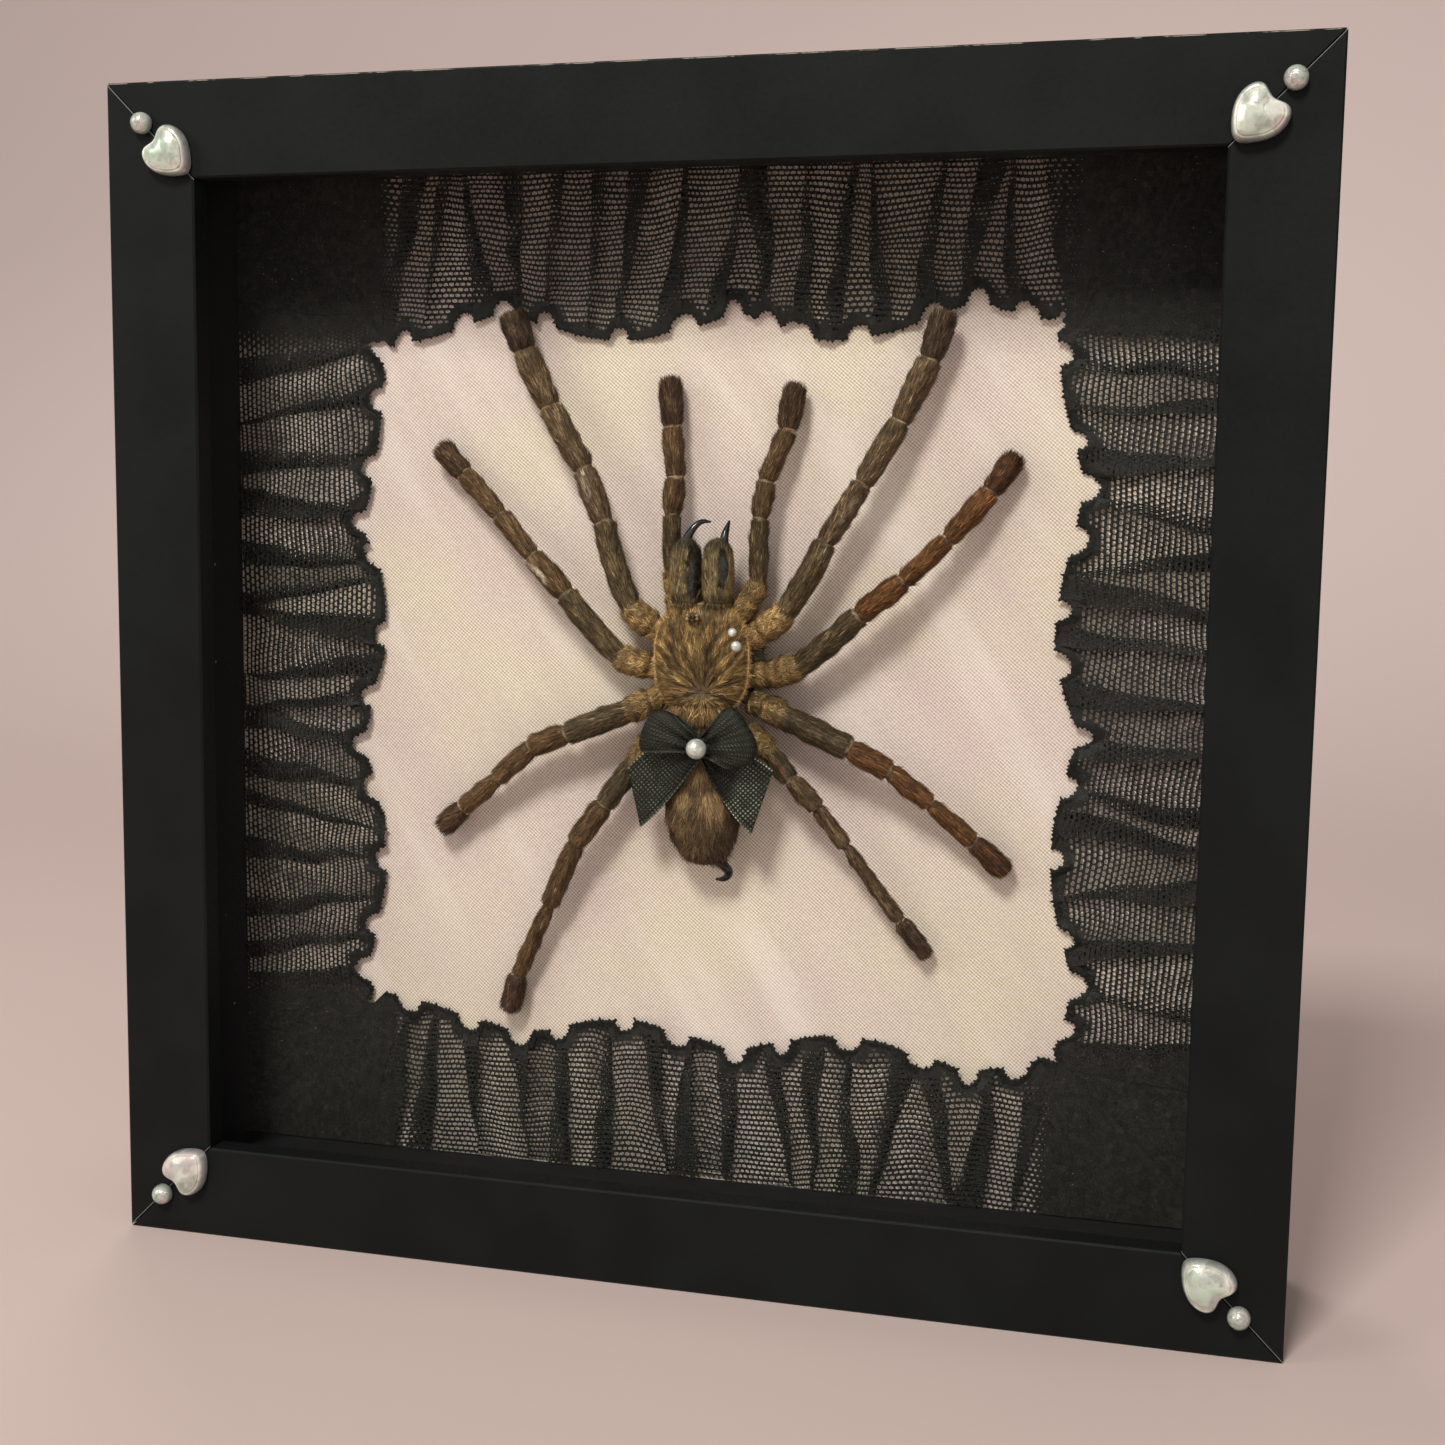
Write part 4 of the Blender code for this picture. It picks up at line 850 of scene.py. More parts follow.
def frame_material():
    """Black foil-wrapped wood: faint grain, a pale hairline at each mitre, a worn outer edge on top."""
    made, tree, shader = material("frame_black", roughness=0.5, specular=0.12)
    place = place_of(tree)
    parts = parts_of(tree, place)
    grain = noise(tree, 1400, 4, place)
    broad = noise(tree, 45, 3, place)
    base = mix(tree, remap(tree, broad, 0.3, 0.7), (0.0056, 0.0068, 0.0068), (0.0082, 0.0098, 0.0094))
    across = maths(tree, "ABSOLUTE", parts["X"])
    up = maths(tree, "ABSOLUTE", maths(tree, "SUBTRACT", parts["Z"], MIDDLE_UP * MM))
    off_mitre = maths(tree, "SUBTRACT", across, up)
    beside = remap(tree, off_mitre, *MITRE_LINE[:2])
    on_mitre = maths(tree, "MULTIPLY", beside, remap(tree, off_mitre, *MITRE_LINE[2:], 1.0, 0.0))
    on_face = remap(tree, parts["Y"], (FACE_Y + 0.3) * MM, (FACE_Y + 0.5) * MM, 1.0, 0.0)
    lined = maths(tree, "MULTIPLY", on_mitre, on_face)
    base = mix(tree, maths(tree, "MULTIPLY", lined, 0.9), base, (0.26, 0.29, 0.27))
    above = remap(tree, parts["Z"], *WORN_TOP)
    front = remap(tree, parts["Y"], *WORN_FRONT, 1.0, 0.0)
    patchy = remap(tree, noise(tree, 160, 5, place, 0.65), 0.47, 0.56)
    worn = maths(tree, "MULTIPLY", maths(tree, "MULTIPLY", above, front), patchy)
    base = mix(tree, worn, base, (0.42, 0.38, 0.29))
    paint(tree, shader, base, remap(tree, grain, 0.3, 0.7, 0.42, 0.58))
    bump(tree, shader, grain, 0.00004, 0.5)
    return made


def glass_material():
    made, _, shader = material("clear_glass", roughness=0.02, specular=1.0, metallic=1.0, Alpha=0.0015)
    shader.inputs["Base Color"].default_value = (0.93, 0.97, 0.95, 1.0)
    return made


def spacer_material():
    """Black card: matt, with a fine fibrous bump."""
    made, tree, shader = material("spacer_black", roughness=0.85, specular=0.2)
    fibres = noise(tree, 900, 5)
    base = mix(tree, fibres, (0.006, 0.006, 0.007), (0.014, 0.014, 0.014))
    specks = node(tree, "ShaderNodeTexVoronoi", None, Vector=place_of(tree), Scale=170.0).outputs["Distance"]
    dust = remap(tree, specks, 0.035, 0.06, 1.0, 0.0)
    dusty = maths(tree, "MULTIPLY", dust, remap(tree, noise(tree, 60), 0.5, 0.6))
    paint(tree, shader, mix(tree, dusty, base, (0.30, 0.29, 0.27)))
    bump(tree, shader, fibres, 0.0001, 0.6)
    return made


def board_material():
    """Hardboard: brown, with long pressed fibres and dark specks."""
    made, tree, shader = material("board_brown", roughness=0.8, specular=0.25)
    fibres = noise(tree, 520, 8, rough=0.75)
    specks = noise(tree, 1300, 2)
    base = mix(tree, remap(tree, fibres, 0.3, 0.7), (0.20, 0.12, 0.068), (0.31, 0.195, 0.115))
    base = layer(tree, base, (0.08, 0.045, 0.025), specks, 0.62, 0.72)
    paint(tree, shader, base, remap(tree, fibres, 0.2, 0.8, 0.65, 0.9))
    bump(tree, shader, fibres, 0.0002, 0.7)
    return made


def metal_material(name, light, dark):
    """Plated steel with fine scratches and duller patches."""
    made, tree, shader = material(name, roughness=0.35, metallic=1.0)
    place = node(tree, "ShaderNodeMapping", None, Vector=place_of(tree), Scale=(300.0, 2500.0, 2500.0))
    scratches = noise(tree, 1.0, 4, place.outputs["Vector"])
    dull = noise(tree, 220, 4)
    worn = mix(tree, remap(tree, dull, 0.35, 0.7), light, dark)
    paint(tree, shader, worn, remap(tree, dull, 0.3, 0.7, 0.24, 0.5))
    bump(tree, shader, scratches, 0.00003, 0.5)
    return made


def nacre_material(name, swirl, metallic, gloss):
    """Pearl coating: the mesh's tint, which on the face trim holds painted highlight and shade, with soft
    swirls of green, rose and grey under a clear gloss.
    """
    made, tree, shader = material(
        name, roughness=0.25, metallic=metallic, specular=0.6, Coat_Weight=gloss, Coat_Roughness=0.05,
        Thin_Film_Thickness=420.0, Thin_Film_IOR=1.45,
    )
    place = place_of(tree)
    bend = node(tree, "ShaderNodeTexNoise", None, Vector=place, Scale=swirl, Detail=2.0)
    pushed = node(tree, "ShaderNodeVectorMath", {"operation": "MULTIPLY_ADD"}, i0=bend.outputs["Color"])
    pushed.inputs[1].default_value = (0.012, 0.012, 0.012)
    tree.links.new(place, pushed.inputs[2])
    swirls = noise(tree, swirl * 1.6, 4, pushed.outputs[0], 0.55)
    hue = noise(tree, swirl * 0.8, 2, pushed.outputs[0])
    base = mix(tree, remap(tree, swirls, 0.34, 0.62), (0.48, 0.51, 0.48), (1.0, 1.0, 0.96))
    base = layer(tree, base, (0.56, 0.80, 0.66), hue, 0.50, 0.66, 0.0, 0.5)
    base = layer(tree, base, (0.92, 0.70, 0.80), hue, 0.44, 0.32, 0.0, 0.5)
    base = mix(tree, 1.0, base, tint_of(tree), "MULTIPLY")
    paint(tree, shader, base, remap(tree, swirls, 0.3, 0.7, 0.34, 0.18))
    bump(tree, shader, swirls, 0.0003, 0.5)
    return made


def thread_material():
    """Black nylon thread with a slight sheen."""
    made, tree, shader = material("lace_thread", roughness=0.55, specular=0.14, Sheen_Weight=0.05)
    shader.inputs["Sheen Roughness"].default_value = 0.5
    grain = tinted(tree, shader, 2600, 0.6, 1.4)
    bump(tree, shader, grain, 0.00005, 0.5)
    return made


def skin_material():
    """Dry cuticle under the hair."""
    made, tree, shader = material("dry_skin", roughness=0.62, specular=0.3)
    grain = tinted(tree, shader, 1300, 0.55, 1.35, 5)
    tree.links.new(remap(tree, grain, 0.55, 1.35, 0.72, 0.5), shader.inputs["Roughness"])
    bump(tree, shader, grain, 0.00012, 0.7)
    return made


def hair_material():
    """Short dry hair: each hair keeps the tint it was given."""
    made, tree, shader = material("dry_hair", roughness=0.5, specular=0.13)
    tinted(tree, shader, 900, 0.8, 1.2)
    return made


def horn_material():
    """Fangs, eyes and spinneret: hard, dark and glossy."""
    made, tree, shader = material(
        "dark_horn", roughness=0.25, specular=0.45, Coat_Weight=0.1, Coat_Roughness=0.1
    )
    grain = tinted(tree, shader, 700, 0.6, 1.5)
    tree.links.new(remap(tree, grain, 0.6, 1.5, 0.16, 0.34), shader.inputs["Roughness"])
    bump(tree, shader, grain, 0.00006, 0.5)
    return made


def stripes(tree, place, turn, pitch):
    """Fine straight lines across the plane of the frame, from 0 to 1: turn is their angle."""
    parts = parts_of(tree, place)
    rate = 2 * math.pi / (pitch * MM)
    across = maths(tree, "MULTIPLY", parts["X"], rate * math.cos(turn))
    total = maths(tree, "MULTIPLY_ADD", parts["Z"], rate * math.sin(turn), across)
    return ripple(tree, total)


def satin_material():
    """Pink cream satin: a fine diagonal twill, with the colour drifting from cream to rose, and soft diagonal
    streaks of painted reflection and painted shade.
    """
    made, tree, shader = material("satin_pink", roughness=0.42, specular=0.4, Sheen_Weight=0.25)
    shader.inputs["Sheen Roughness"].default_value = 0.35
    shader.inputs["Sheen Tint"].default_value = (1.0, 0.86, 0.78, 1.0)
    place = place_of(tree)
    drift = noise(tree, 22, 3, place)
    grain = noise(tree, 1500, 3, place)
    twill = stripes(tree, place, SATIN_TWILL_TURN, SATIN_TWILL_PITCH)
    weft = stripes(tree, place, SATIN_TWILL_TURN + math.pi / 2, SATIN_TWILL_PITCH * 1.1)
    weave = maths(tree, "MULTIPLY_ADD", weft, 0.35, maths(tree, "MULTIPLY", twill, 0.65))
    base = mix(tree, remap(tree, drift, 0.32, 0.58), (0.805, 0.745, 0.565), (0.765, 0.65, 0.61))
    base = layer(tree, base, (0.46, 0.35, 0.27), weave, 0.1, 0.7, 1.0, 0.0)
    base = layer(tree, base, (1.0, 0.95, 0.88), weave, 0.7, 1.0, 0.0, 0.8)
    base = layer(tree, base, (1.0, 0.95, 0.87), grain, 0.40, 0.65, 0.0, 0.16)
    turned = (0.0, SATIN_PAINTED_SHEEN_TURN, 0.0)
    stretched = node(tree, "ShaderNodeMapping", {"vector_type": "TEXTURE"}, Vector=place, Rotation=turned)
    stretched.inputs["Scale"].default_value = SATIN_PAINTED_SHEEN
    painted_sheen = noise(tree, 1.0, 2, stretched.outputs["Vector"])
    # Painted sheen: the lighter streaks stand for reflection on the satin, the darker pinker ones for shade
    base = layer(tree, base, (0.95, 0.90, 0.82), painted_sheen, 0.50, 0.72, 0.0, 0.32)
    base = layer(tree, base, (0.56, 0.45, 0.43), painted_sheen, 0.48, 0.28, 0.0, 0.22)
    paint(tree, shader, base, remap(tree, weave, 0.0, 1.0, 0.52, 0.36))
    bump(tree, shader, weave, 0.0001, 0.8)
    return made


def ribbon_material():
    """Dark green black satin ribbon: offset rows of small painted glints in its colour, weak on the loops and
    stronger on the tails, which catch the light.
    """
    made, tree, shader = material("ribbon_green", roughness=0.3, specular=0.16)
    cloth = node(tree, "ShaderNodeUVMap", {"uv_map": "cloth"}).outputs["UV"]
    parts = parts_of(tree, cloth)
    up = maths(tree, "MULTIPLY", parts["Y"], 2 * math.pi / RIBBON_ROW_PITCH)
    half_turned = maths(tree, "MULTIPLY", up, 0.5)
    over = maths(tree, "MULTIPLY_ADD", parts["X"], 2 * math.pi / RIBBON_LINE_PITCH, half_turned)
    weave = maths(tree, "MULTIPLY", ripple(tree, over), ripple(tree, up))
    tint = tint_of(tree)
    painted_glint = node(tree, "ShaderNodeVectorMath", {"operation": "MULTIPLY"}, i0=tint, i1=RIBBON_PAINTED_GLINT)
    uneven = remap(tree, noise(tree, 420, 2, place_of(tree)), 0.35, 0.65, 0.3, 1.0)
    # Painted glints: weak on the loops and knot, stronger on the left tail and strongest on the right one
    steps = []
    for side, low, high in (("left", 0.2, 0.55), ("right", 0.0, 0.45)):
        start = TAIL_CLOTH[side]
        steps.append(remap(tree, parts["X"], start - 10, start - 5, low, high))
    share = maths(tree, "ADD", *steps)
    share = maths(tree, "MULTIPLY", maths(tree, "MULTIPLY", share, uneven), remap(tree, weave, 0.25, 0.8))
    base = mix(tree, share, tint, painted_glint.outputs[0])
    paint(tree, shader, base, remap(tree, weave, 0.0, 1.0, 0.42, 0.24))
    bump(tree, shader, weave, 0.00012, 0.8)
    return made


def floor_material():
    made, tree, shader = material("plain_floor", roughness=0.8, specular=0.2)
    place = place_of(tree)
    behind = remap(tree, parts_of(tree, place)["Y"], 0.3, 1.5)
    base = mix(tree, noise(tree, 3, 3, place), (0.565, 0.455, 0.425), (0.60, 0.49, 0.46))
    paint(tree, shader, mix(tree, behind, base, (0.90, 0.76, 0.72)))
    return made


# Lace


def scalloped_edge(notches, first_corner, last_corner, rng):
    """Points (along, out) of the edge: broad lobes, with a round bite taken out between two lobes."""
    stops = [first_corner, *notches, last_corner]
    radii = [0.0, *rng.uniform(*NOTCH_RADIUS, len(notches)), 0.0]
    points = []
    for (start, start_out), (end, end_out), first, last in zip(stops, stops[1:], radii, radii[1:]):
        share = (1 - np.cos(np.arange(SCALLOP_STEPS) / SCALLOP_STEPS * math.pi)) / 2
        along = start + (end - start) * share
        lobe = min(SCALLOP_MOST, SCALLOP_SHARE * (end - start)) * (
            SHOULDER + (1 - SHOULDER) * np.sin(share * math.pi)
        )
        for radius, away in ((first, along - start), (last, end - along)):
            if radius:
                lobe = lobe * (1 - np.sqrt(np.maximum(0, 1 - (away / radius) ** 2)))
        from_corner = np.minimum(along - first_corner[0], last_corner[0] - along)
        lobe = np.minimum(lobe, CORNER_SLOPE * from_corner)
        points.append(stacked(along, start_out + (end_out - start_out) * share - lobe))
    return np.concatenate((*points, [last_corner]))


class Pleats:
    """Flat pleats of one strip: how far along, and how high, each line of its cloth lies."""

    def __init__(self, rng):
        spots = [-PLEAT_REACH]
        while spots[-1] < PLEAT_REACH - PLEAT_SPACING[0]:
            tight = abs(spots[-1]) > CORNER_BLOCK
            low, high = CORNER_PLEAT_SPACING if tight else PLEAT_SPACING
            spots.append(spots[-1] + rng.uniform(low, high))
        spots = np.array(spots)
        count = len(spots)
        self.spots = spots
        self.lean = rng.uniform(-1, 1, count) * PLEAT_LEAN
        wide_outside = rng.random(count) < 0.55
        wide = rng.uniform(*PLEAT_WIDE, count)
        slim = rng.uniform(*PLEAT_SLIM, count)
        self.outer = np.where(wide_outside, wide, slim)
        self.inner = np.where(wide_outside, slim, wide)
        self.turned = rng.random(count) < 0.5
        start = 0.0
        cloth = []
        for index in range(count):
            folded = (self.outer[index] + self.inner[index]) / 2
            cloth.append((start, start + folded * FOLD_CLOTH))
            if index + 1 < count:
                following = (self.outer[index + 1] + self.inner[index + 1]) / 2
                window = spots[index + 1] - spots[index] + (folded + following) / 2
                start = cloth[-1][1] + window
        self.cloth = np.array(cloth).ravel()
        self.length = self.cloth[-1]

    def lay(self, cloth_along, depth):
        """Along and height for cloth coordinates, depth being the distance from the outer edge."""
        share = np.clip(depth / PLEAT_DEPTH, 0, 1)
        interval = np.clip(np.searchsorted(self.cloth, cloth_along, side="right") - 1, 0, len(self.cloth) - 2)
        part = (cloth_along - self.cloth[interval]) / (self.cloth[interval + 1] - self.cloth[interval])

        def crease(knot):
            pleat, second = np.divmod(knot, 2)
            width = self.outer[pleat] + (self.inner[pleat] - self.outer[pleat]) * share
            spot = self.spots[pleat] + self.lean[pleat] * (share - 0.5)
            along = spot + width * (0.5 - second)
            high = (second == 1) == self.turned[pleat]
            return along, np.where(high, LACE_TOP, LACE_BOTTOM)

        from_along, from_height = crease(interval)
        to_along, to_height = crease(interval + 1)
        round_up = 4 * part * (1 - part)
        in_window = interval % 2 == 1
        height = from_height + (to_height - from_height) * part
        height = height + np.where(in_window, -0.12, 0.25) * round_up
        return from_along + (to_along - from_along) * part, height


def make_lace(side, first, last, to_plane, seed):
    """A gathered strip of net, with holes in rows, that ends in a close scalloped border."""
    rng = np.random.default_rng(seed)

    def seen_from_side(corner):
        right, up = LACE_CORNERS[corner]
        return {
            "top": (right, up),
            "right": (up, right),
            "bottom": (right, -up),
            "left": (up, -right),
        }[side]

    edge = scalloped_edge(LACE_NOTCHES[side], seen_from_side(first), seen_from_side(last), rng)
    pleats = Pleats(rng)
    on_top = side in ("top", "bottom")

    def edge_out(along):
        inside = np.interp(along, edge[:, 0], edge[:, 1])
        beyond = (along < edge[0, 0]) | (along > edge[-1, 0])
        return np.where(beyond, np.abs(along) - MITRE_LAP - 2.0, inside)

    def from_edge(along, out):
        """Distance to the scalloped edge, negative beyond it."""
        steps = np.linspace(-3, 3, 25)[:, None]
        behind = np.maximum(out - edge_out(along + steps), 0)
        return np.where(out > edge_out(along), np.hypot(steps, behind).min(axis=0), out - edge_out(along))

    def border_height(along):
        return 1.25 + 0.5 * wobble(along[..., None], 9.0, seed + 5)

    def lay(cloth):
        cloth_along, depth = cloth[..., 0], cloth[..., 1]
        along, height = pleats.lay(cloth_along, depth)
        out = LACE_OUTER - depth
        wave = wobble(stacked(cloth_along, depth * 0.5), 14.0, seed + 1) * ROW_WAVE
        out = out + wave * np.clip(depth / 6, 0, 1)
        along = along + wobble(stacked(cloth_along * 0.3, depth), 16.0, seed + 2) * 0.5
        near_corner = smoothstep(CORNER_BLOCK - 10, CORNER_BLOCK, np.abs(along))
        height = height + (CORNER_LIES_AT - height) * near_corner * 0.85
        near_edge = smoothstep(5.0, 0.5, out - edge_out(along))
        height = height + (border_height(along) - height) * near_edge * 0.8
        return along, out, height

    def place(along, out, height):
        limit = out + MITRE_LAP
        near_seam = smoothstep(5.0, 0.0, limit - np.abs(along))
        height = height + (LACE_BOTTOM + 0.2 + MITRE_RISE * 2 * on_top - height) * near_seam
        along = np.clip(np.clip(along, -limit, limit), -LACE_OUTER, LACE_OUTER)
        right, up = to_plane(along, np.minimum(out, LACE_OUTER))
        return stacked(right, up, height)

    columns = int(pleats.length / CELL[0])
    rows = int(PLEAT_DEPTH / CELL[1]) + 2
    column, row = np.meshgrid(np.arange(columns), np.arange(rows))
    middle = stacked((column + 0.5 + 0.5 * (row % 2)).ravel(), (row + 0.3).ravel()) * CELL
    along, out, _ = lay(middle)
    away = from_edge(along, out)
    kept = (away > 0.55) & (np.abs(along) < out + MITRE_LAP + 0.5)
    middle, along, out, away = middle[kept], along[kept], out[kept], away[kept]

    blocked = smoothstep(CORNER_BLOCK - 5, CORNER_BLOCK + 2, np.abs(along))
    solid = BORDER_SOLID[0] + BORDER_SOLID[1] * wobble(along[:, None], 5.0, seed + 7)
    openness = 1 - blocked * rng.uniform(0.84, 1.0, len(along))
    openness = openness * smoothstep(0.0, 1.2, away - solid) * rng.uniform(0.84, 1.08, len(along))
    openness = openness * smoothstep(0.0, SEAM_SOLID, out - np.abs(along))
    holed = openness > SMALLEST_HOLE
    corners, hole_corners = np.array(CELL_CORNERS), np.array(HOLE_CORNERS)
    outer = place(*lay(middle[:, None] + corners * CELL))
    hole = hole_corners * HOLE + rng.normal(scale=0.03, size=(len(along), 6, 2))
    inner = place(*lay((middle[:, None] + hole * openness[:, None, None])[holed]))
    shape = Shape()
    uneven = np.exp(rng.normal(scale=0.18, size=len(along)))[:, None, None]
    shade = uneven * np.array(LACE_TINT) * np.ones((6, 1))
    around = np.arange(6)
    turned = np.roll(around, -1)
    net = np.concatenate((outer[holed], inner), axis=1)
    ring = stacked(around, turned, turned + 6, around + 6)
    faces = (np.arange(len(net))[:, None, None] * 12 + ring).reshape(-1, 4)
    shape.add(net, faces, np.concatenate((shade, shade), axis=1)[holed].reshape(-1, 3), smooth=False)
    plain = outer[~holed]
    halves = np.array(((0, 1, 2, 3), (0, 3, 4, 5)))
    faces = (np.arange(len(plain))[:, None, None] * 6 + halves).reshape(-1, 4)
    shape.add(plain, faces, shade[~holed].reshape(-1, 3), smooth=False)
    ahead = np.roll(hole_corners, -1, axis=0)

    steps = np.concatenate(([0], np.cumsum(np.hypot(*np.diff(edge, axis=0).T))))
    spots = np.arange(0, steps[-1], BORDER_STEP)
    border = stacked(np.interp(spots, steps, edge[:, 0]), np.interp(spots, steps, edge[:, 1]))
    ahead = unit(np.gradient(border, axis=0))
    outward = stacked(ahead[:, 1], -ahead[:, 0])
    soft = np.ones(7) / 7
    outward = unit(np.stack([np.convolve(part, soft, mode="same") for part in outward.T], axis=-1))
    phase = spots / PICOT_PITCH + 0.3 * wobble(spots[:, None], 5.0, seed + 3)
    picot = PICOT_SIZE * np.sin(phase * math.pi) ** 2
    picot = picot * (1 + 0.7 * wobble(spots[:, None], 2.3, seed + 4))
    width = BORDER_WIDTH * (1 + 0.25 * wobble(spots[:, None], 4.0, seed + 6))
    lines = [border + outward * (picot - 0.1)[:, None]]
    for share in (0.0, 0.35, 1.0):
        lines.append(border - outward * (0.15 + share * width)[:, None])
    lines = np.array(lines)
    raised = np.array((0.05, 0.26, 0.22, 0.08))[:, None]
    points = place(lines[..., 0], lines[..., 1], border_height(lines[..., 0]) + raised)
    threads = np.exp(0.5 * wobble(points * np.array((3.0, 3.0, 0.5)), 1.6, seed + 8))
    tints = np.array(LACE_TINT) * 0.62 * threads[..., None]
    shape.add(points, grid_faces(len(lines), len(spots)), tints.reshape(-1, 3))

    obj = dress(shape, f"net_lace_{side}", f"lace_{side}", ["thread"])


def make_all_lace():
    make_lace("top", "top_left", "top_right", lambda along, out: (along, out), 11)
    make_lace("right", "bottom_right", "top_right", lambda along, out: (out, along), 12)
    make_lace("bottom", "bottom_left", "bottom_right", lambda along, out: (along, -out), 13)
    make_lace("left", "bottom_left", "top_left", lambda along, out: (-out, along), 14)


# Spider


def hair_tints(base, rng, spread=0.34, odd=0.22):
    """Each hair's own tint: the skin's tint under it, lighter or darker, and a few pale or dark ones."""
    count = len(base)
    tone = np.exp(rng.normal(scale=spread, size=count))
    tone = tone * rng.choice((1.0, 1.8, 0.45), size=count, p=(1 - odd, odd * 0.4, odd * 0.6))
    warm = rng.normal(scale=0.05, size=count)
    hue = stacked(1 + warm, np.ones(count), 1 - warm)
    return np.clip(base * HAIR_GAIN * tone[:, None] * hue, 0, 0.9)


def strands(across, along, pitch, length, seed):
    """Streaks from about -1 to 1 that are narrow across and long along, as where hairs lie together."""
    return wobble(np.concatenate((across / pitch, along[..., None] / length), axis=-1), 1.0, seed)


def limb_rings(joints, radii, profiles, bow, membranes, step=0.55):
    """Rings of a limb from its tip, with the segment of each ring and the share along it."""
    centres, reach, segments, shares, gaps = [], [], [], [], []
    for index, radius in enumerate(radii):
        start, end = np.array(joints[index]), np.array(joints[index + 1])
        length = np.linalg.norm(end - start)
        share = np.linspace(0, 1, max(8, round(length / step)), endpoint=False)
        for at, side in ((index, 1), (index + 1, -1)):
            if at in membranes:
                share = np.union1d(share, (side * np.array(JOINT_RINGS) / length) % 1)
        count = len(share)
        spots = start + (end - start) * share[:, None]
        if bow is not None and index == FEMUR:
            spots = spots + np.array((*bow, 0.0)) * (4 * share * (1 - share))[:, None]
        centres.append(spots)
        reach.append(radius * np.interp(share, *profiles[index]))
        segments.append(np.full(count, index))
        shares.append(share)
        near = share * length if index in membranes else np.full(count, NO_JOINT_NEAR)
        far = (1 - share) * length if index + 1 in membranes else np.full(count, NO_JOINT_NEAR)
        gaps.append(np.minimum(near, far))
    centres = np.concatenate(centres)
    smoothed = centres.copy()
    smoothed[2:-2] = (
        centres[:-4] + 2 * centres[1:-3] + 3 * centres[2:-2] + 2 * centres[3:-1] + centres[4:]
    ) / 9
    return smoothed, *(np.concatenate(rows) for rows in (reach, segments, shares, gaps))


